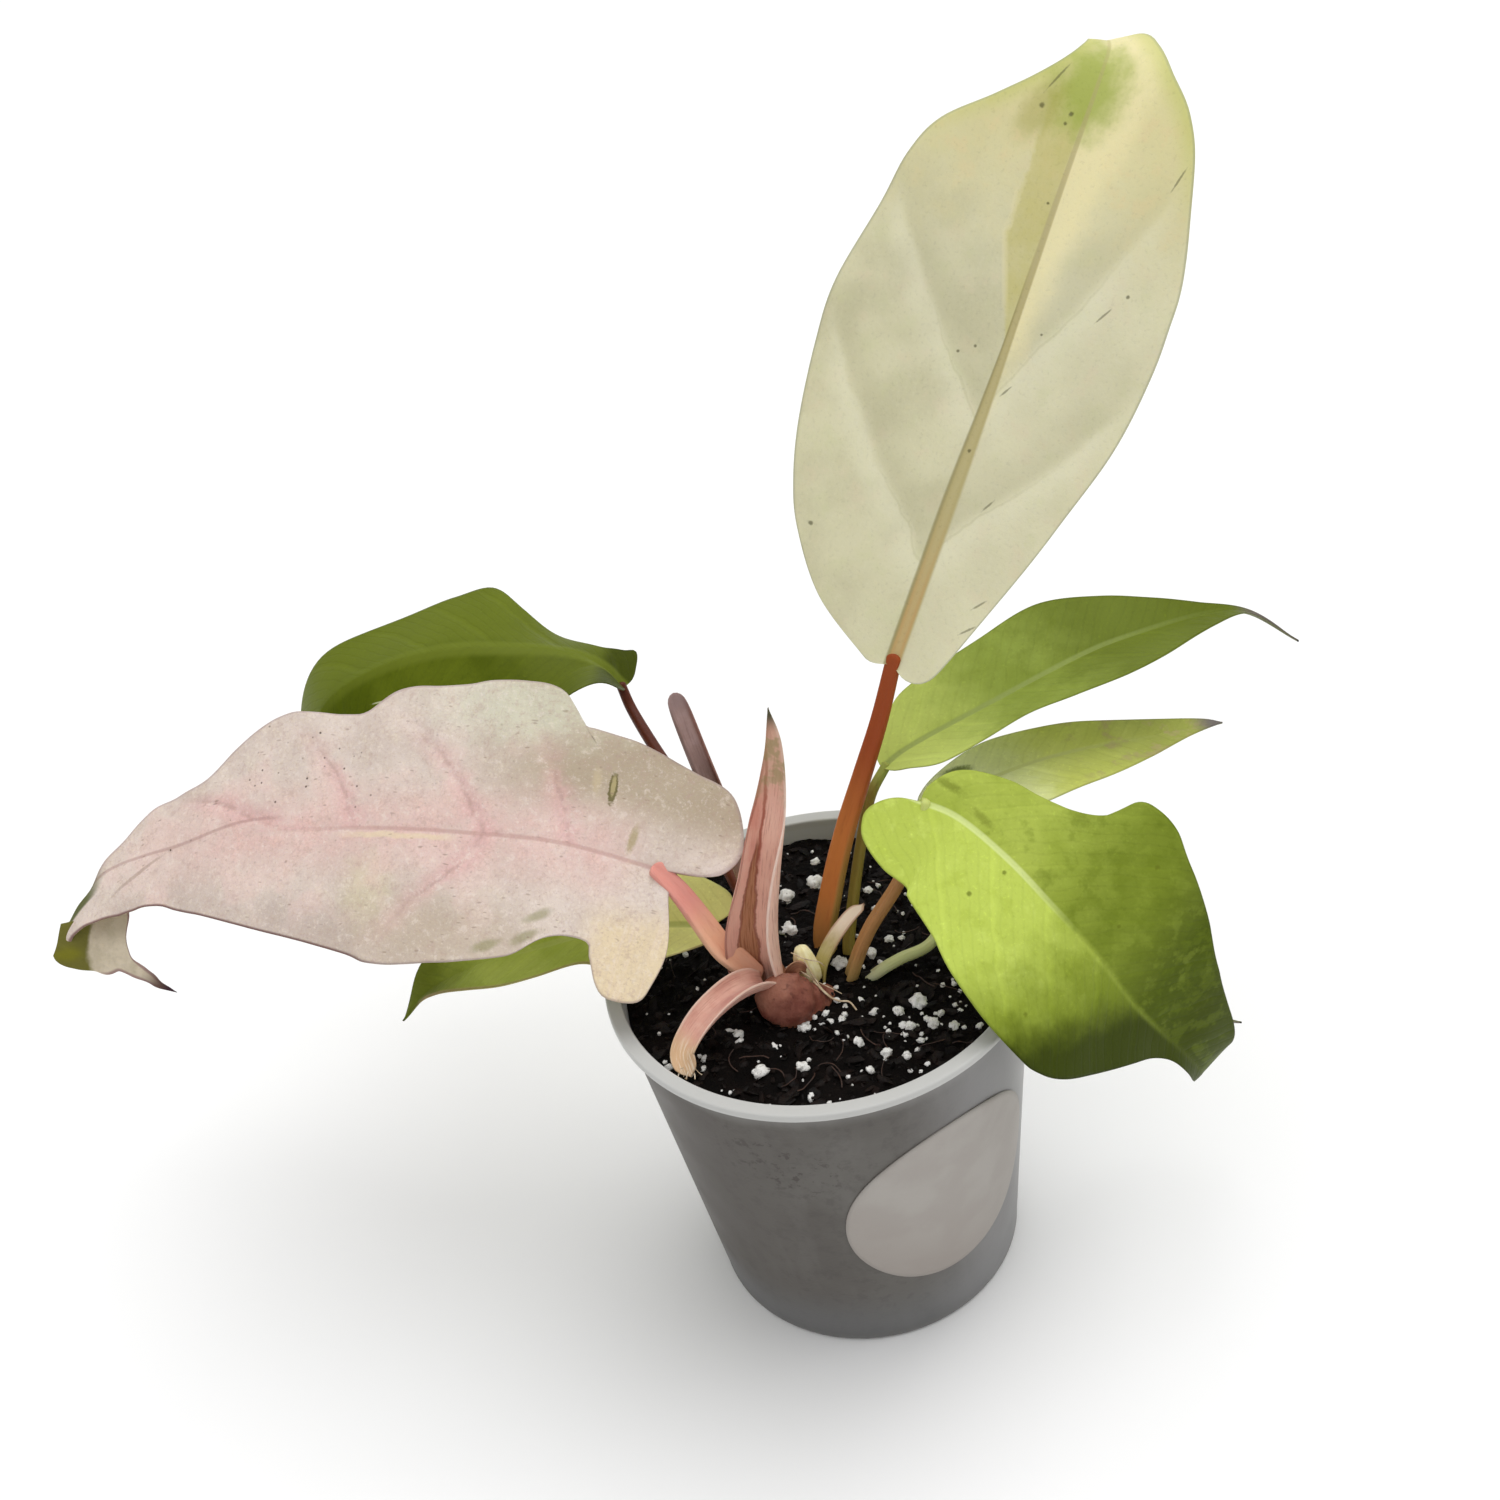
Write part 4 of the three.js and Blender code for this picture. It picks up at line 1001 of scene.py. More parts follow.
PINK = Blade(
    midrib=[
        (-30, 5, 116), (-50, 14, 121), (-70, 21, 123), (-91, 29, 123), (-113, 37, 121),
        (-131, 43, 118), (-144, 46, 114), (-155.2, 46.9, 109.9), (-160, 46.8, 108),
        (-164.3, 46, 105.7), (-168.4, 44.6, 103), (-171.4, 42.8, 100.5), (-172.6, 41.5, 98.8),
        (-173.2, 40.5, 97),
    ],
    face=(0.18, -0.68, 0.71),
    left=[
        (0, 0), (-3, 3), (-4, 6), (-7, 16), (-6, 24), (-4, 28), (2, 29), (5, 27), (8, 22), (10, 19),
        (19, 20), (31, 26), (49, 29), (62, 30), (70, 28), (96, 22), (117, 16), (127, 11.5),
        (135, 9.4), (140, 8.4), (145, 6.8), (150, 4.8), (154, 2.6), (157, 1.2), (159.1, 0),
    ],
    right=[
        (0, 0), (-9, 1), (-14, 3), (-16, 9), (-11, 19), (-2, 22), (11, 25), (21, 26), (24, 27),
        (29, 34), (40, 35), (56, 33), (65, 32), (72, 27), (79, 27), (92, 28), (99, 25), (105, 21),
        (111, 15), (118, 13), (126, 12), (133, 9.5), (140, 5.5), (145, 2.4), (150, 1.2),
        (155, 0.9), (159.1, 0),
    ],
    lobe=0.3, pace=(1, 1.05), rows=190, keel=0.9, groove=0.3,
    relief=sunk(
        PINK_VEINS, 0.5, 1.7, waves([(0.45, 24, 60, 0.5), (0.3, 15, -40, 1.2), (0.12, 7, 19, 0)])
    ),
)

PINK_TIP = Blade(
    midrib=[
        (-175.2, 40.7, 98.2), (-173.4, 40.2, 97), (-171.6, 39.8, 95.4), (-169.2, 39.3, 93.9),
        (-165.2, 38.2, 92.9), (-160.7, 36.4, 92.4), (-156.4, 33.8, 91.2), (-152.2, 30.7, 89.5),
        (-147.8, 27.9, 88),
    ],
    face=(-0.02, 0.81, -0.59),
    left=[
        (0, 2.2), (1.4, 3.4), (3.6, 3.9), (6.5, 3.2), (10, 2.7), (13, 3.2), (16.5, 1.8), (21, 1.8),
        (27, 1.1), (32.8, 0),
    ],
    right=[
        (-1.6, 4.6), (1.2, 6.6), (4.2, 8.4), (8.4, 10.4), (12.6, 12.6), (15.3, 13.4), (16, 11.8),
        (16.3, 8), (16.9, 4.8), (18.4, 2.6), (21, 1.6), (26, 1.1), (32.8, 0),
    ],
    cup=((5, 5), (5, 5)),
    lobe=0, sweep=1, rows=70, columns=20, keel=0.25, keel_width=0.6, groove=0,
    relief=waves([(0.35, 11, 23, 0.5), (0.15, 5, -9, 1)]),
)

DARK = Blade(
    midrib=[
        (-34, 68, 121), (-38, 70, 127), (-46, 72, 132), (-61, 74, 135), (-75, 76, 136), (-90, 77, 134),
        (-103, 76, 129), (-110, 74, 121), (-112, 71, 111),
    ],
    face=(0.6, -0.3, 0.75),
    left=[(0, 0), (0, 3), (2, 8), (6, 13), (14, 18), (30, 22), (50, 21), (70, 16), (88, 8), (101, 0)],
    right=[
        (0, 0), (-0.5, 4), (0.5, 8), (3, 12.5), (5.5, 9.5), (10, 7), (19, 9.5), (29, 18), (38, 25.5),
        (46, 22), (56, 18.5), (66, 17), (78, 16), (88, 12), (96, 5), (101, 0),
    ],
    fold=((40, 0), (30, -10), (-5, -25), (-20, -12), (-25, -8), (-25, -8), (-25, 0), (-20, 0), (0, 0)),
    pace=(1, 1.3), rows=120, columns=30,
    relief=quilted(16, 0.8, 0.008, 0.2, 1.5, waves([(0.3, 37, 60, 0.5)])),
)

LOW = Blade(
    midrib=[
        (-22, 6, 97), (-33, 9, 97), (-47, 12, 96), (-61, 14, 93), (-75, 16, 90), (-88, 16, 85),
        (-96, 14, 79),
    ],
    face=(0.1, -0.3, 0.95),
    left=[
        (0, 0), (-3, 3), (1, 7), (10, 12), (20, 13), (29, 10), (39, 11), (48, 11), (58, 8), (67, 4),
        (73, 1), (79, 0),
    ],
    right=[(0, 0), (-4, 3), (-3, 8), (8, 13), (25, 16), (45, 14), (60, 10), (68, 8), (74, 3), (79, 0)],
    fold=((20, 10), (20, 10)),
    rows=90, columns=22,
    relief=quilted(13, 0.8, 0.01, 0.15, 1.2, waves([(0.25, 29, 50, 0.5)])),
)

LANCE = Blade(
    midrib=[
        (21, 20, 120), (28, 23, 122), (47, 29, 125), (69, 36, 128), (82, 40, 128), (98, 44, 127),
        (109, 46, 124), (121, 47, 113),
    ],
    face=(0, -0.05, 1),
    left=[
        (0, 0), (0, 2), (3, 5), (7, 9), (13, 13), (24, 15), (35, 16), (50, 17), (63, 13), (73, 8),
        (85, 3), (94, 1), (110, 0),
    ],
    right=[
        (0, 0), (0, 2), (2, 6), (9, 12), (20, 13), (32, 12), (42, 14), (53, 17), (63, 15), (76, 9),
        (87, 4), (95, 1), (110, 0),
    ],
    fold=((16, 16), (16, 16)),
    lobe=0.12, rows=110, columns=24,
    relief=quilted(14, 1.1, 0.01, 0.18, 1.3, waves([(0.25, 33, 50, 1.5)])),
)

SLIM = Blade(
    midrib=[(34, 17, 110), (46, 20, 112), (60, 23, 112), (80, 25, 111), (97, 26, 110)],
    face=(0, -0.05, 1),
    left=[
        (0, 0), (-4, 1), (-6, 4), (0, 8), (11, 10), (20, 10), (30, 9), (39, 7), (49, 5), (60, 2),
        (64, 0),
    ],
    right=[(0, 0), (-4, 3), (-2, 8), (6, 13), (16, 15), (31, 13), (45, 8), (56, 3), (64, 0)],
    fold=((8, 8), (8, 8)),
    lobe=0.15, rows=80, columns=20, keel=0.6,
    relief=quilted(12, 1.1, 0.01, 0.15, 1.2, waves([(0.2, 27, 50, 0.2)])),
)

BROAD = Blade(
    midrib=[
        (26, 0, 125), (33, -4, 122), (41, -11, 115), (48, -17, 106), (56, -22, 94), (63, -23, 79),
        (69, -22, 68), (75, -20, 57), (79, -16, 47), (81, -9, 42), (83, -3, 42), (87, -1, 45),
        (92, -3, 46),
    ],
    face=(0.1, -0.75, 0.65),
    left=[
        (0, 0), (0.5, 4), (5, 9), (12, 12.5), (18, 14), (24, 16.5), (29, 21), (31.5, 27.5), (36, 29.5),
        (42, 29.5), (49, 27), (64, 23), (78, 18), (90, 14), (100, 11), (109, 7), (116, 3.5), (123, 1.2),
        (129.5, 0),
    ],
    right=[
        (0, 0), (-4, 1), (-7, 3), (-9, 6), (-9, 9), (-7, 13), (-1, 17), (8, 20), (19, 23), (28, 26),
        (39, 28), (48, 28), (54, 27), (61, 23), (74, 10), (84, 4), (94, 3), (104, 3), (112, 2.5),
        (120, 1.5), (129.5, 0),
    ],
    fold=((0, 18),) * 6 + ((0, 15), (0, 10)) + ((0, 0),) * 5,
    pace=(1.3, 1), rows=180, groove=0.15, keel_width=0.7,
    relief=quilted(18, 0.8, 0.006, 0.12, 1.6, waves([(0.35, 45, 60, 0.5), (0.2, 23, -30, 2)])),
)


def leaves():
    """Every blade with its look, and the pink leaf's turned tip."""
    for kind, blade, look in (
        ("cream", CREAM, cream_look), ("pink", PINK, pink_look), ("dark", DARK, dark_look),
        ("low", LOW, low_look), ("lance", LANCE, lance_look), ("slim", SLIM, slim_look),
        ("broad", BROAD, broad_look),
    ):
        add_piece(blade.build(f"leaf_{kind}"), look(), f"leaf_{kind}", f"blade_{kind}")
        if kind == "pink":
            add_piece(PINK_TIP.build("leaf_pink_tip"), pink_tip_look(), "leaf_pink")


# Stalks, stem and sheaths


def stalk_look(name, foot, middle, top, streak, length, streaked=0.35, edge=None, turn=(0.42, 0.8)):
    """A satin stalk with fine lengthwise streaks, whose colour changes from foot to top.

    turn gives the shares of its length where the top's colour sets in, and edge tints its lower right.
    """
    look = Look(name)
    s, across, rise = look.parts(look.known("flat", "Vector"))
    streaks = look.noise(look.combined(s * 0.12, across * 2.2, rise * 2.2), 0.5, 4, 0.6)
    clouds = look.noise(look.place(), 4, 3)
    look.ground((s + clouds * 4).smooth(0.08 * length, 0.36 * length), foot, middle)
    look.paint(s.smooth(turn[0] * length, turn[1] * length), top)
    if edge:
        look.paint(across.smooth(0.55, 0.95) * s.smooth(0.6 * length, 0.3 * length) * 0.7, edge)
    look.paint(streaks.smooth(0.5, 0.8) * streaked, streak)
    height = streaks * 0.8 + look.noise(look.place(), 0.5, 3) * 0.3
    return look.finish(0.42, height, 0.12, 0.15, glow=(0.1, 1, (1, 0.5, 0.3)))


# The leaf stalks: slot, shape, the colours of foot, middle, top and streaks, and the rest of the look
STALKS = {
    "cream": (
        "stalk_red",
        Stalk(
            [
                (3.4, 1.6, 80), (1.6, 5.2, 87), (5, 8.6, 98), (10, 12, 110.5), (16, 15, 123),
                (21.5, 17.7, 134.5), (26.4, 20.6, 146.5),
            ],
            (2.6, 2.6, 2.5, 2.3, 2.1, 1.9, 1.7), (-0.5, -0.8, 0.2), 0.6, 0.12, beyond=1.5,
        ),
        ("#a47642", "#c2763a", "#964620", "#8a4224"), dict(length=72, streaked=0.3, edge="#8f8446"),
    ),
    "pink": (
        "stalk_pink",
        Stalk(
            [
                (-14.5, -6.5, 92), (-17.2, -5.2, 95.5), (-20.2, -4, 99.5), (-23.5, -1, 106),
                (-26.8, 2, 112), (-30.6, 5, 116.6),
            ],
            (2.6, 2.8, 2.8, 2.6, 2.3, 1.9), (0.5, -0.6, 0.6), 0.35, 0.25, before=1.5, beyond=0.8,
        ),
        ("#dfae92", "#eab797", "#dc968a", "#b96a5c"), dict(length=29),
    ),
    "dark": (
        "stalk_dark",
        Stalk(
            [
                (-8, -4.5, 84), (-10.5, 1, 89), (-16, 18, 100), (-22, 36, 107), (-29, 54, 112.5),
                (-33, 65, 116.5), (-34.4, 68.4, 121.6),
            ],
            (1.6, 1.5, 1.5, 1.4, 1.4, 1.3, 1.2), beyond=0.8,
        ),
        ("#8a5b40", "#6b3826", "#56281a", "#3e1f14"), dict(length=86),
    ),
    "low": (
        "stalk_green",
        Stalk(
            [(-7.4, -4.6, 81), (-12, 0.5, 84.5), (-17, 4, 89), (-20.5, 5.4, 94), (-23.6, 6.4, 97)],
            (1.4, 1.4, 1.4, 1.3, 1.2), beyond=0.8,
        ),
        ("#b3b476", "#b2be6a", "#aec060", "#7b8440"), dict(length=24, streaked=0.2),
    ),
    "lance": (
        "stalk_olive",
        Stalk(
            [
                (6.4, 0.8, 80.5), (6.6, 2.8, 87), (9.4, 8.5, 94.5), (13, 13, 105), (17, 17, 115),
                (21.6, 20.2, 120.2),
            ],
            (1.5, 1.4, 1.3, 1.25, 1.2, 1.1), (-0.6, -0.6, 0.3), 0.9, 0.1, beyond=0.8,
        ),
        ("#9c8a42", "#8c7c38", "#a2ac54", "#4f4420"), dict(length=47, streaked=0.3, turn=(0.86, 1)),
    ),
    "slim": (
        "stalk_green",
        Stalk(
            [
                (7.6, -2.6, 79.5), (9.4, -6, 84.5), (13, -7.2, 88), (17, -6.5, 89.2), (24, -4.5, 90.2),
                (30, 2, 94.5), (33.5, 10, 102), (34.6, 17.2, 110.2),
            ],
            (1.5, 1.5, 1.5, 1.5, 1.4, 1.3, 1.2, 1.1), (0, -0.3, 1), 0.6, 0.3, beyond=0.8,
        ),
        ("#d6d4b4", "#c8cc90", "#b4c06c", "#8f9658"), dict(length=50, streaked=0.3),
    ),
    "broad": (
        "stalk_olive",
        Stalk(
            [
                (5, -3.4, 80), (5.9, -6, 87), (11, -5, 97.3), (18.5, -4, 107.5), (23.8, -2.6, 117),
                (26.8, -0.4, 125),
            ],
            (1.8, 1.8, 1.7, 1.6, 1.5, 1.4), (-0.8, -0.1, 0.5), 0.6, 0.25, beyond=0.8,
        ),
        # The foot colour is paler than the stalk's own brown, as painted light where the broad leaf
        # shades it
        ("#b09a60", "#b08050", "#c6ce78", "#6c4a28"), dict(length=49, streaked=0.5, turn=(0.9, 1)),
    ),
}


def stalks():
    """The seven leaf stalks."""
    for kind, (slot, stalk, colours, rest) in STALKS.items():
        look = stalk_look(f"{kind}_stalk", *colours, **rest)
        add_piece(stalk.build(f"petiole_{kind}"), look, slot, f"stalk_{kind}")


def stem_look():
    """Red-brown skin with creases painted dark as painted shade, a painted highlight at its upper left,
    and brown below where it nears the mix, partly its own colour and partly painted shade.
    """
    look = Look("stem")
    place = look.place()
    x, _, z = look.parts(place)
    clouds = look.noise(place, 3, 4, 0.6)
    grain = look.noise(place, 0.6, 4)
    creases = look.noise(look.scaled(place, (1, 1, 0.4)), 2.2, 3, 0.6)
    look.ground(clouds.smooth(0.35, 0.65), "#733f34", "#8a5547")
    # Painted highlight at the upper left
    look.paint((z - x * 0.5 + clouds * 4).smooth(98, 101) * 0.45, "#a87660")
    # Brown near the mix: partly the skin's own colour and partly painted shade where it meets the mix
    look.paint((z + clouds * 4).smooth(89.5, 86) * 0.85, "#6b4e2c")
    # Painted shade: the creases are painted dark
    look.paint(creases.smooth(0.56, 0.64) * 0.5, "#4c261f")
    look.paint(grain.smooth(0.55, 0.8) * 0.4, "#64392f")
    height = clouds * 0.6 + creases * 0.6 + grain * 0.5
    return look.finish(0.5, height, 0.25, 0.15, glow=(0.12, 1.5, (1, 0.5, 0.35)))


def bud_look():
    """Pale yellow, painted near white as painted light, with fine streaks and an olive foot."""
    look = Look("bud")
    s, across, rise = look.parts(look.known("flat", "Vector"))
    streaks = look.noise(look.combined(s * 0.3, across * 2, rise * 2), 0.6, 4, 0.6)
    clouds = look.noise(look.place(), 2.2, 3)
    # Painted light: the ground is near white, paler than the bud's own yellow
    look.ground(streaks.smooth(0.4, 0.7), "#fdf4c8", "#efe29c")
    look.paint(clouds.smooth(0.55, 0.75) * 0.25, "#cdbd74")
    look.paint((s + clouds * 2).smooth(4, 0.5) * 0.8, "#9a9450")
    return look.finish(0.45, streaks, 0.2, 0.3, glow=(0.15, 1.5, (1, 0.8, 0.4)))


def stem_and_bud():
    """The swollen base that runs under the mix, and the bud beside it."""

    def rings(s, angle):
        return 0.03 * np.sin(s * 1.9) + 0.02 * np.sin(3 * angle + s) + 0.015 * np.sin(5 * angle - 2 * s)

    stem = Stalk(
        [
            (-12, -9, 92.5), (-10.5, -11, 90.5), (-8, -12, 87.8), (-5, -11, 84.6), (-1, -8.5, 82),
            (2.5, -5, 80.6), (5, -0.5, 80),
        ],
        (3.4, 5.4, 6, 5.2, 4.4, 4, 3.4), (0, -1, 0), ripple=rings,
    )
    add_piece(stem.build("swollen_stem"), stem_look(), "stem_pink", "stem")

    def ridges(s, angle):
        return 0.05 * np.sin(7 * angle)

    bud = Stalk(
        [(-2.6, -4.4, 85), (-3, -4.1, 88.5), (-3.6, -3.4, 92), (-3.9, -2.9, 94.5)],
        (2.2, 2.5, 2.2, 1.2), (0, -1, 0), ripple=ridges,
    )
    add_piece(bud.build("pale_bud"), bud_look(), "bud_pale", "bud")


def sheath(midrib, face, left, cup, right=None, rows=70, relief=None):
    """A blade curled into a scale leaf, with no rib."""
    return Blade(
        midrib, face, left, right or left, cup=cup, lobe=0, sweep=1, rows=rows, columns=16, thick=0.8,
        edge=0.3, keel=0, groove=0, relief=relief,
    )


def sheath_ground(name, base, light, dark):
    """The start of a sheath's look, with fine lengthwise fibres."""
    look = LeafLook(name)
    look.fibres = look.noise(look.scaled(look.at, (0.14, 2.4, 1)), 0.9, 4, 0.65)
    look.ground(look.patches.smooth(0.35, 0.65), base, light)
    look.paint(look.fibres.smooth(0.45, 0.75) * 0.5, dark)
    return look


def sheath_finish(look):
    """A dry satin finish."""
    height = look.fibres * 0.8 + look.grain * 0.3
    return look.finish(0.5, height, 0.18, 0.12, glow=(0.12, 0.8, (1, 0.6, 0.4)))


def tall_sheath_look():
    """Pink, with a red-brown line up the inside that opens into a brown fold below, partly painted shade,
    and painted light on the inside's left.
    """
    look = sheath_ground("tall_sheath", "#dfa898", "#eabba9", "#bd8072")
    paint = look.paint
    x, y, edge, patches, fibres = look.x, look.y, look.edge, look.patches, look.fibres
    inner = 1 - look.under
    paint(y.smooth(-2.4, 0) * x.smooth(54, 40) * 0.6, "#efcab6")
    paint(fibres.smooth(0.52, 0.64) * y.smooth(-2.4, 0) * 0.5, "#b67c70")
    paint(inner * y.smooth(-1, -3) * x.smooth(30, 46) * 0.5, "#cf8672")
    # Painted light on the inside's left part
    paint(inner * y.smooth(-3, -6) * x.smooth(10, 22) * x.smooth(44, 34) * 0.75, "#f9d2bf")
    line = (y + 1.6 + (patches - 0.5) * 1.5).size()
    paint(inner * line.smooth(0.55, 0.15) * x.smooth(28, 34) * x.smooth(62, 54) * 0.8, "#9a4c38")
    # The brown fold: partly the sheath's own colour and partly painted shade in the fold, darkest along
    # its crease
    below = 38 - x
    middle = (y + 2.2 + below * 0.04 + (patches - 0.5) * 2).size()
    past_fold = middle - below * 0.085
    fold = past_fold.smooth(0.5, -0.5) * x.smooth(40, 34)
    paint(inner * fold * 0.9, "#b5835f")
    paint(inner * fold * fibres.smooth(0.45, 0.62) * 0.6, "#85563b")
    paint(inner * past_fold.size().smooth(0.5, 0.1) * x.smooth(38, 34) * 0.6, "#7d4030")
    paint(edge.smooth(0.8, 0.2) * y.smooth(0, -1) * 0.6, "#8a4636")
    paint(edge.smooth(0.6, 0.2) * y.smooth(0, 1) * 0.7, "#f0d8ca")
    paint(look.along(46, 62, 10) * 0.55, "#b8957a")
    paint(patches.smooth(0.48, 0.6) * x.smooth(44, 54) * 0.6, "#8c8452")
    paint(x.smooth(62, 67), "#4d4a34")
    return sheath_finish(look)


def back_sheath_look():
    """Mauve-grey with a dark left edge and a brown strip on its right."""
    look = sheath_ground("back_sheath", "#a0857e", "#b19690", "#7c605c")
    x, y = look.x, look.y
    look.paint(y.smooth(-1.6, -3) * 0.6, "#5c4c46")
    look.paint(y.smooth(1.2, 2.6) * 0.7, "#7c4e3e")
    look.paint(look.along(34, 18, 8) * 0.7, "#b08c70")
    look.paint(x.smooth(56, 61) * 0.7, "#8a7472")
    return sheath_finish(look)


def drooping_sheath_look():
    """Pink outside, mauve inside, with pale rims and a tan frayed tip."""
    look = sheath_ground("drooping_sheath", "#d3a090", "#dfb3a1", "#ab7266")
    x, y, edge = look.x, look.y, look.edge
    look.paint((1 - look.under) * (y + 1).size().smooth(2, 0.2) * x.smooth(22, 12) * 0.55, "#ae7670")
    look.paint(look.under * look.fibres.smooth(0.5, 0.7) * 0.4, "#b6716a")
    look.paint(edge.smooth(0.6, 0.2) * 0.55, "#e8cfbe")
    look.paint(look.along(22, 28, 5) * 0.9, "#d2b089")
    look.paint(look.fibres.smooth(0.5, 0.6) * x.smooth(20, 26) * 0.7, "#f0e2cc")
    return sheath_finish(look)


def dried_sheath_look():
    """Olive at the foot and pinkish white at the tip."""
    look = sheath_ground("dried_sheath", "#a99b58", "#bbae72", "#857a40")
    look.paint(look.along(9, 18, 5), "#e4d2bc")
    look.paint(look.edge.smooth(0.6, 0.2) * look.x.smooth(6, 12) * 0.7, "#b48a70")
    return sheath_finish(look)


def scrap_look():
    """A dry brown skin."""
    look = sheath_ground("papery_scrap", "#8a5a44", "#a8795e", "#5f3828")
    look.paint(look.edge.smooth(0.4, 0.1) * 0.6, "#c9a184")
    return sheath_finish(look)


def sheaths():
    """The scale leaves and a scrap of dry skin."""
    tall = sheath(
        [
            (-12, -4.6, 87), (-10.8, -2.4, 103), (-7.4, -1, 118), (-3.6, 0.5, 132), (-1.2, 1.6, 144.5),
            (-1, 2.4, 153.5),
        ],
        (-0.35, -0.95, 0.2),
        [(0, 8.3), (14, 10), (28, 8.8), (39, 6.6), (47, 4), (55, 2.5), (62, 1.4), (68, 0)],
        ((80, 123), (95, 134), (140, 155), (165, 165), (165, 165), (165, 165)),
    )
    add_piece(tall.build("scale_tall"), tall_sheath_look(), "sheath_pink", "sheath_tall")

    back = sheath(
        [
            (-11, 4.2, 86.5), (-11.4, 8, 96), (-13, 13.2, 106.4), (-15.3, 19.2, 117.3), (-18, 25, 129.8),
            (-20.2, 29.8, 141.8),
        ],
        (0.1, -0.9, 0.3),
        [(0, 4), (20, 4.2), (40, 4), (54, 3.4), (60, 2.5), (62, 1.4), (62.6, 0)],
        ((125, 125), (110, 110)),
    )
    add_piece(back.build("scale_back"), back_sheath_look(), "sheath_brown", "sheath_back")

    drooping = sheath(
        [
            (-12.5, -9.5, 91), (-15.5, -11.5, 93.6), (-20, -14.2, 94.4), (-25, -17.5, 93.6),
            (-29, -20.5, 91.5), (-31.3, -23.2, 89.3), (-31, -26, 87.8),
        ],
        (0.4, 0.2, 0.9),
        [(0, 5), (6, 6.6), (13, 6), (21, 4.6), (28, 3), (30.5, 0)],
        ((85, 85), (95, 95)),
        [(0, 3.6), (6, 4.6), (13, 4.2), (21, 3.6), (28, 2.8), (30.5, 0)],
    )
    add_piece(drooping.build("scale_drooping"), drooping_sheath_look(), "sheath_pink", "sheath_drooping")

    dried = sheath(
        [(-0.8, -4.6, 84), (0.6, -3.2, 88.5), (3.4, -1.2, 92), (7.2, 1.4, 94.8), (11.5, 4.3, 96.5)],
        (-0.5, -0.2, 0.8),
        [(0, 2.2), (9, 2.3), (14, 2.2), (18.5, 1.8), (20.5, 0)],
        ((60, 60), (50, 50)),
    )
    add_piece(dried.build("scale_dried"), dried_sheath_look(), "sheath_dry", "sheath_dried")

    scrap = sheath(
        [(-7.6, -6.6, 90), (-6, -6.4, 91.6), (-4.6, -6.2, 91.4), (-3.6, -6, 89.6)],
        (0.3, -0.7, 0.65),
        [(0, 1), (1.8, 1.7), (3.6, 1.5), (5, 0.9), (6.2, 0)],
        ((30, 70), (60, 20)), rows=24, relief=waves([(0.3, 3.1, 4, 0.4)]),
    )
    add_piece(scrap.build("papery_scrap"), scrap_look(), "sheath_dry")


# Pot, label and potting mix


def wall_radius(z):
    """Outer radius of the pot's wall at a height."""
    return BASE_RADIUS + SLOPE * z


def rounded(corners, steps=6):
    """A profile whose corners (radius, height, rounding) are rounded off."""
    corners = [np.asarray(corner, float) for corner in corners]
    points = [corners[0][:2]]
    for before, corner, after in zip(corners, corners[1:], corners[2:]):
        middle, reach = corner[:2], corner[2]
        ends = []
        for side in (before[:2] - middle, after[:2] - middle):
            ends.append(middle + unit(side) * min(reach, 0.45 * np.linalg.norm(side)))
        for t in np.linspace(0, 1, steps):
            points.append((1 - t) ** 2 * ends[0] + 2 * t * (1 - t) * middle + t * t * ends[1])
    return np.array(points + [corners[-1][:2]])


def turned(name, profile, sides):
    """A solid of revolution. Its profile starts and ends on the axis."""
    angle = np.linspace(0, 2 * math.pi, sides, endpoint=False)
    radius, height = profile[:, 0, None], profile[:, 1, None]
    points = np.stack([radius * np.cos(angle), radius * np.sin(angle), height + 0 * angle], -1)
    return mesh_object(name, points.reshape(-1, 3), ring_faces(len(profile), sides)[2])


def pot_look():
    """Frosted plastic: dark where the mix shows through, with painted shade on its left, painted light on
    its right and on its inner wall, and paler at the rim.
    """
    look = Look("pot_plastic")
    paint = look.paint
    place = look.place()
    x, y, z = look.parts(place)
    flow = look.noise(look.scaled(place, (1, 1, 0.25)), 5, 3)
    clouds = look.noise(place, 16, 3)
    lumps_behind = look.noise(place, 3, 4, 0.65)
    frost = look.noise(place, 0.7, 3)
    look.ground(clouds.smooth(0.35, 0.65), "#54504b", "#5f5c57")
    paint(lumps_behind.smooth(0.48, 0.68) * 0.35, "#3f3b37")
    paint(flow.smooth(0.5, 0.7) * 0.25, "#6e6b67")
    # Painted shade: the left of the wall is darker
    paint((x + clouds * 10).smooth(6, -36) * 0.75, "#403933")
    paint((z + clouds * 6).smooth(26, 8) * 0.5, "#707274")
    # Painted light: the right of the wall is paler, palest at its far right
    paint((x + clouds * 8).smooth(10, 34) * 0.75, "#878686")
    paint((x + clouds * 6).smooth(36, 48) * 0.9, "#b4b4b2")
    paint((z + clouds * 3).smooth(83.5, 88) * 0.45, "#8f8e8b")
    paint(z.smooth(3, 0.5) * 0.4, "#75736f")
    # Painted light: the inner wall is painted pale
    depth = (x * x + y * y).power(0.5) - z * SLOPE - (BASE_RADIUS - WALL)
    paint(depth.smooth(0.7, 0.3) * 0.9, "#c9cac9")
    paint(z.smooth(87.6, 88.4) * 0.95, "#bfbfbc")
    stains = look.noise(place, 2.4, 4, 0.7).smooth(0.54, 0.62)
    soiled = look.spot(x, z, (-18, 70), (15, 9), 0.5, -25) * y.smooth(0, -20)
    paint(stains * soiled * 0.75, "#3a332e")
    height = frost * 0.5 + flow * 0.5
    return look.finish(0.42 + (clouds - 0.5) * 0.3, height, 0.05, 0.3, glow=(0.15, 2, (1, 1, 1.05)))


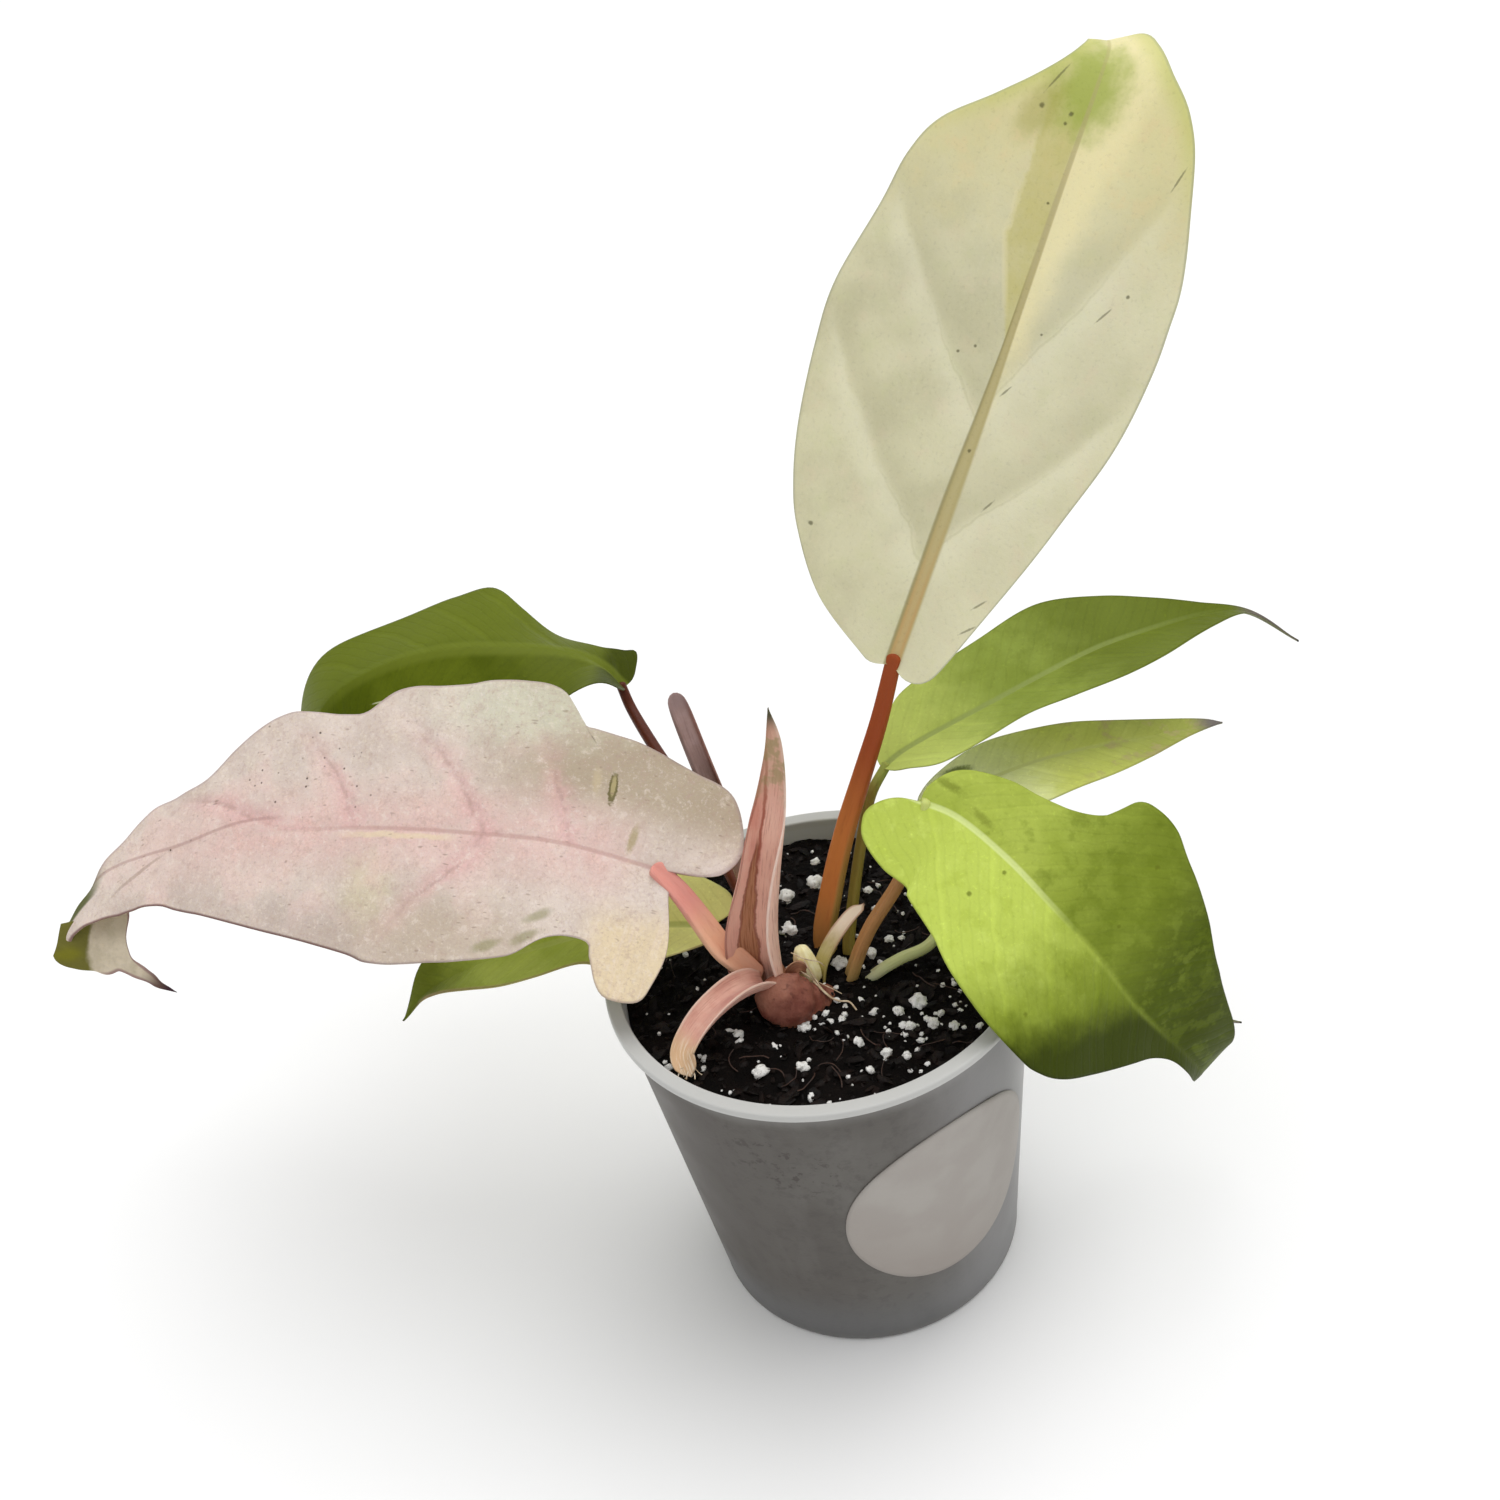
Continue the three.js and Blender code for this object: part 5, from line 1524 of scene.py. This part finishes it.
def pot():
    """A turned vessel with a flat rim, a ring-shaped recess under its base and drain holes."""
    under = POT_HEIGHT - RIM_HEIGHT
    inner_top = wall_radius(POT_HEIGHT) - WALL
    corners = [
        (0, 0, 0),
        (BASE_RADIUS - 9, 0, 0.5),
        (BASE_RADIUS - 7.5, RECESS_DEPTH, 0.5),
        (BASE_RADIUS - 5, RECESS_DEPTH, 0.5),
        (BASE_RADIUS - 4.4, 0, 0.4),
        (BASE_RADIUS + 0.1, 0, 1.6),
        (wall_radius(CORNER), CORNER, 1.0),
        (wall_radius(under), under, 0.3),
        (RIM_RADIUS, under, 0.5),
        (RIM_RADIUS, POT_HEIGHT, 0.6),
        (inner_top, POT_HEIGHT, 0.6),
        (inner_top - 0.1, under, 0.3),
        (wall_radius(CORNER) - WALL, CORNER + 0.6, 1.0),
        (BASE_RADIUS - CORNER, FLOOR, 0.4),
        (0, FLOOR, 0),
    ]
    vessel = turned("nursery_pot", rounded(corners), POT_SIDES)
    drills = bmesh.new()
    for i in range(DRAIN_COUNT):
        angle = 2 * math.pi * i / DRAIN_COUNT
        middle = Vector((math.cos(angle), math.sin(angle), 0)) * DRAIN_CIRCLE * MM
        bmesh.ops.create_cone(
            drills, cap_ends=True, segments=32, radius1=DRAIN_RADIUS * MM, radius2=DRAIN_RADIUS * MM,
            depth=6 * FLOOR * MM, matrix=Matrix.Translation(middle),
        )
    drill = settled(drills, bpy.data.meshes.new("drills"), "drills", False)
    cut = vessel.modifiers.new("drains", "BOOLEAN")
    cut.operation = "DIFFERENCE"
    cut.object = drill
    applied = bpy.data.meshes.new_from_object(vessel.evaluated_get(bpy.context.evaluated_depsgraph_get()))
    vessel.modifiers.clear()
    vessel.data = applied
    bpy.data.objects.remove(drill)
    add_piece(vessel, pot_look(), "pot_plastic", "pot")


def label_look():
    """Paper, painted grey overall as painted shade, and a little darker still towards its lower left as
    more painted shade.
    """
    look = Look("label_paper")
    place = look.place()
    fibres = look.noise(place, 0.5, 4, 0.7)
    clouds = look.noise(place, 11, 3)
    x, _, z = look.parts(place)
    # Painted shade: the ground is a shaded grey of the paper
    look.ground(clouds.smooth(0.35, 0.65), "#a39d97", "#a9a49e")
    # Painted shade, darker towards the lower left
    look.paint((z + x * 0.6).smooth(60, 30) * 0.6, "#978e87")
    look.paint(fibres.smooth(0.5, 0.8) * 0.25, "#97918b")
    return look.finish(0.6, fibres * 0.6 + clouds * 0.4, 0.06, 0.25)


def label():
    """A bare disc of paper that follows the wall, with a thin lifted edge."""
    rings, sides = 22, 144
    shares = np.linspace(0, 1, rings)
    angles = np.linspace(0, 2 * math.pi, sides, endpoint=False)
    ring, around = np.meshgrid(shares, angles, indexing="ij")
    z = LABEL_HEIGHT + LABEL_RADIUS * ring * np.sin(around)
    wall = wall_radius(z)
    lift = 0.05 + 0.06 * np.sin(3 * around + 1) ** 2 * ring**6
    turn = math.radians(LABEL_TURN) + LABEL_RADIUS * ring * np.cos(around) / wall

    def layer(depth):
        radius = wall + lift + depth
        return np.stack([radius * np.cos(turn), radius * np.sin(turn), z], -1).reshape(-1, 3)

    edge = LABEL_THICK * (1 - ring**30 * 0.4)
    points = np.concatenate([layer(edge), layer(-0.1)])
    index, after, top = ring_faces(rings, sides)
    side = np.stack([index[-1], after[-1], after[-1] + index.size, index[-1] + index.size], -1)
    faces = np.concatenate([top, top[:, ::-1] + index.size, side])
    add_piece(mesh_object("bare_label", points, faces), label_look(), "label_paper", "label")


def soil_height(x, y):
    """Height of the crumbly top of the mix."""
    radius = math.hypot(x, y) / (wall_radius(SOIL_EDGE) - WALL)
    dome = SOIL_EDGE + (SOIL_MIDDLE - SOIL_EDGE) * (1 - radius**2)
    coarse = noise.fractal(Vector((x, y, 3)) * 0.16, 1, 2, 3)
    fine = noise.fractal(Vector((x, y, 9)) * 0.7, 0.8, 2, 4)
    return dome + 0.8 * coarse + 0.45 * fine


def soil_look():
    """Near-black and damp."""
    look = Look("soil")
    place = look.place()
    clouds = look.noise(place, 5, 4, 0.6)
    grain = look.noise(place, 0.7, 5, 0.7)
    look.ground(clouds.smooth(0.35, 0.65), "#090706", "#120d0b")
    look.paint(grain.smooth(0.55, 0.8) * 0.5, "#1d1410")
    return look.finish(0.5 + (grain - 0.5) * 0.6, grain, 0.6, 0.06)


def chip_look():
    """Dark bark."""
    look = Look("chips")
    place = look.place()
    clouds = look.noise(place, 2.5, 3)
    grain = look.noise(place, 0.4, 4, 0.7)
    look.ground(clouds.smooth(0.35, 0.7), "#0b0807", "#1a100c")
    look.paint(grain.smooth(0.55, 0.8) * 0.35, "#2c1b13")
    return look.finish(0.4, grain, 0.2, 0.12)


def perlite_look():
    """White foamed grains with pores painted dark as painted shade, and grime."""
    look = Look("perlite")
    place = look.place()
    pores = look.cells(place, 0.45)[0]
    clouds = look.noise(place, 2, 3)
    grime = look.noise(place, 1.1, 4, 0.7)
    look.ground(clouds.smooth(0.3, 0.7), "#d9d7d2", "#f0efec")
    # Painted shade in the pores
    look.paint(pores.smooth(0.16, 0.05) * 0.5, "#8f8a84")
    look.paint(grime.smooth(0.55, 0.68) * 0.6, "#6f665c")
    return look.finish(0.8, pores, 0.25, glow=(0.15, 0.8, (1, 1, 1)))


def soil():
    """The mix as one closed body, crumbly on top and plain where the pot hides it."""
    sides = SOIL_SIDES
    rim = wall_radius(SOIL_EDGE) - WALL - 0.1
    floor = FLOOR + 0.2
    hidden = [
        (wall_radius(CORNER + 1) - WALL - 0.2, CORNER + 1), (BASE_RADIUS - CORNER - 1, floor), (0, floor),
    ]
    circle = [(math.cos(angle), math.sin(angle)) for angle in np.arange(sides) * 2 * math.pi / sides]
    points = []
    for share in np.linspace(0, 1, SOIL_RINGS):
        for cos, sin in circle:
            x, y = rim * share * cos, rim * share * sin
            points.append((x, y, soil_height(x, y)))
    for radius, height in hidden:
        points += [(radius * cos, radius * sin, height) for cos, sin in circle]
    faces = ring_faces(len(points) // sides, sides)[2]
    add_piece(mesh_object("potting_mix", points, faces), soil_look(), "soil", "soil")


def lumps(name, places, subdivisions, uneven, smooth):
    """Irregular lumps. places are (x, y, z, size, flatness, length)."""
    work = bmesh.new()
    for k, (x, y, z, size, flatness, length) in enumerate(places):
        turn = random.uniform(0, 6.3)
        pole = Vector((random.gauss(0, 0.35), random.gauss(0, 0.35), 1))
        shape = Matrix.Diagonal((size * length, size, size * flatness, 1))
        stood = Matrix.Translation((x, y, z)) @ Matrix.Rotation(turn, 4, pole) @ shape
        made = bmesh.ops.create_icosphere(work, subdivisions=subdivisions, radius=1)
        offset = Vector((7.3 * k, 3.1 * k, 0))
        for vert in made["verts"]:
            coarse = noise.noise(vert.co * 1.7 + offset)
            swell = 1 + uneven * coarse + 0.4 * uneven * noise.noise(vert.co * 4 + offset)
            vert.co = (stood @ (vert.co * swell)) * MM
    return settled(work, bpy.data.meshes.new(name), name, smooth)


# The perlite grains that stand out: x, y and size
GRAINS = [
    (2, 27, 2), (-5, 23.5, 1.9), (-6, 11.5, 1.9), (4, -1.5, 1.7), (11, 0, 1.3), (-6, -18, 1.6),
    (18.5, -17.5, 1.7), (9, -18, 1), (14, -19, 1.1), (20.5, -23.5, 1.3), (15.5, -24, 1.2),
    (24.5, -25.5, 1), (9.5, -29.5, 1.1), (13.5, -31, 1), (-16.5, -28, 1.5), (-8, -29, 1.4),
    (-35.5, -21.5, 0.9), (-20, -17, 1.1), (15.5, 3, 1), (13.5, 20, 0.9), (3, 34.5, 1.2), (2, -18.5, 0.9),
    (-13, -22, 0.9), (-2, -9, 0.9), (-7, -37.5, 0.9), (4.5, -25.5, 1),
]


def disc_place(reach):
    """A random place on a disc."""
    radius = reach * math.sqrt(random.random())
    angle = random.uniform(0, 2 * math.pi)
    return radius * math.cos(angle), radius * math.sin(angle)


def scattered(count, small, large, sink):
    """Random places on the mix with a size each, mostly small."""
    spots = []
    for _ in range(count):
        x, y = disc_place(wall_radius(SOIL_EDGE) - WALL - 1.2)
        size = small + (large - small) * random.random() ** 3
        spots.append((x, y, soil_height(x, y) + sink * size, size))
    return spots


def mix_bits():
    """Bark chips, crumbs and perlite on the mix."""
    random.seed(11)
    chips = []
    for spot in scattered(CHIPS, 0.35, 1.4, 0.1):
        chips.append((*spot, random.uniform(0.25, 0.6), random.uniform(1, 2.6)))
    add_piece(lumps("mix_chips", chips, 1, 0.5, False), chip_look(), "soil")
    grains = []
    for spot in scattered(CRUMBS, 0.25, 0.9, 0.3):
        grains.append((*spot, random.uniform(0.6, 0.9), random.uniform(0.9, 1.3)))
    for _ in range(SPILLED):
        x, y = random.gauss(SPILL_PLACE[0], 8), random.gauss(SPILL_PLACE[1], 6)
        size = random.uniform(0.25, 0.6)
        grains.append((x, y, soil_height(x, y) + 0.3 * size, size, 0.8, random.uniform(0.9, 1.4)))
    for x, y, size in GRAINS:
        grains.append((x, y, soil_height(x, y) + 0.15 * size, size, 0.8, random.uniform(0.9, 1.25)))
    add_piece(lumps("perlite", grains, 3, 0.5, True), perlite_look(), "soil")


def threads(name, routes, look, slot):
    """Thin round threads: each route is its radius and its points."""
    curve = bpy.data.curves.new(name, "CURVE")
    curve.dimensions = "3D"
    curve.bevel_depth = 1 * MM
    curve.bevel_resolution = 2
    curve.use_fill_caps = True
    for radius, points in routes:
        path = spline(points, 6)
        line = curve.splines.new("POLY")
        line.points.add(len(path) - 1)
        for point, place in zip(line.points, path):
            point.co = (*(place * MM), 1)
            point.radius = radius
    holder = linked("thread_curve", curve)
    mesh = bpy.data.meshes.new_from_object(holder.evaluated_get(bpy.context.evaluated_depsgraph_get()))
    bpy.data.objects.remove(holder)
    mesh.name = name
    add_piece(linked(name, mesh), look, slot)


def root_look(name, pale, dark):
    """A plain dry finish in two tones."""
    look = Look(name)
    clouds = look.noise(look.place(), 1.5, 3)
    look.ground(clouds.smooth(0.35, 0.65), pale, dark)
    return look.finish(0.6, clouds, 0.05)


# The pale roots at the swollen base: radius and route
ROOTS = [
    (0.2, [(-2.5, -9.5, 90), (0, -12, 87.5), (2, -13.5, 86.8), (4.2, -14.6, 87), (5.4, -16.6, 86.2)]),
    (0.14, [(-3.5, -6, 93), (-2.6, -8.5, 91.5), (-1, -10.6, 88.6), (0.6, -12, 86.8)]),
    (0.12, [(-6, -5, 95), (-3.4, -6.6, 94), (-0.6, -7.2, 93), (0.4, -6.6, 91)]),
    (0.1, [(-5, -6.5, 91), (-3, -8.6, 90.4), (-1.2, -9.4, 89), (1, -10.6, 88), (3, -11.4, 86.6)]),
]


def frayed_thread():
    """A thread that hangs from the drooping sheath's tip."""
    x, y, z = -31 + random.uniform(-1.4, 1.4), -25.6, 88.2
    points = [(x, y, z)]
    for _ in range(3):
        x += random.uniform(-0.7, 0.7)
        y -= random.uniform(0.1, 0.9)
        z -= random.uniform(0.2, 0.8)
        points.append((x, y, max(z, soil_height(x, y) + 0.2)))
    return random.uniform(0.07, 0.16), points


def fibre():
    """A curved fibre that lies on the mix, bowed up in its middle."""
    radius = 38 * math.sqrt(random.random())
    angle = random.uniform(0, 6.3)
    x, y = radius * math.cos(angle), radius * math.sin(angle)
    heading = random.uniform(0, 6.3)
    bend = random.uniform(-0.5, 0.5)
    points = []
    for step in range(6):
        points.append((x, y, soil_height(x, y) + 0.35 + 0.5 * math.sin(step * 0.6)))
        x += 1.3 * math.cos(heading)
        y += 1.3 * math.sin(heading)
        heading += bend
    return random.uniform(0.07, 0.16), points


def roots_and_fibres():
    """Thin pale roots, the drooping sheath's frayed tip and fibres on the mix."""
    random.seed(5)
    threads("roots", ROOTS, root_look("roots", "#dcc8ac", "#b39a78"), "stem_pink")
    frays = [frayed_thread() for _ in range(FRAYS)]
    threads("frayed_tip", frays, root_look("frayed_tip", "#eadcc6", "#cbb08c"), "sheath_pink")
    fibres = [fibre() for _ in range(FIBRES)]
    threads("fibres", fibres, root_look("fibres", "#2c1a12", "#43281a"), "soil")


# Floor, lights and camera


def stage():
    """A pale floor."""
    look = Look("floor")
    clouds = look.noise(look.place(), 400)
    floor = linked("floor", bpy.data.meshes.new("floor"))
    reach = FLOOR_REACH * MM
    corners = [(-reach, -reach, 0), (reach, -reach, 0), (reach, reach, 0), (-reach, reach, 0)]
    floor.data.from_pydata(corners, [], [(0, 1, 2, 3)])
    look.ground(clouds, "#f6f6f6", "#f8f8f8")
    floor.data.materials.append(look.finish(0.9))


def lights():
    """A pale studio: light from all round and a wide sun from above, a little right and behind."""
    world = bpy.data.worlds.new("studio")
    bpy.context.scene.world = world
    world.use_nodes = True
    back = world.node_tree.nodes["Background"]
    back.inputs["Color"].default_value = (1, 1, 1, 1)
    back.inputs["Strength"].default_value = WORLD_LIGHT
    sun = bpy.data.lights.new("overhead", "SUN")
    sun.energy = SUN
    sun.angle = math.radians(SUN_ANGLE)
    linked("overhead", sun).rotation_euler = Vector(SUN_TOWARDS).to_track_quat("Z", "Y").to_euler()


def camera():
    """The photograph's view, with its lens."""
    data = bpy.data.cameras.new("camera")
    data.lens = LENS
    data.sensor_width = SENSOR
    data.clip_start = 10 * MM
    eye = linked("camera", data)
    turn = Matrix((EYE_RIGHT, EYE_UP, EYE_BACK)).transposed()
    eye.matrix_world = Matrix.Translation(Vector(EYE) * MM) @ turn.to_4x4()
    bpy.context.scene.camera = eye
    bpy.context.scene.view_settings.view_transform = "Standard"


camera()
lights()
stage()
leaves()
stalks()
stem_and_bud()
sheaths()
pot()
label()
soil()
mix_bits()
roots_and_fibres()
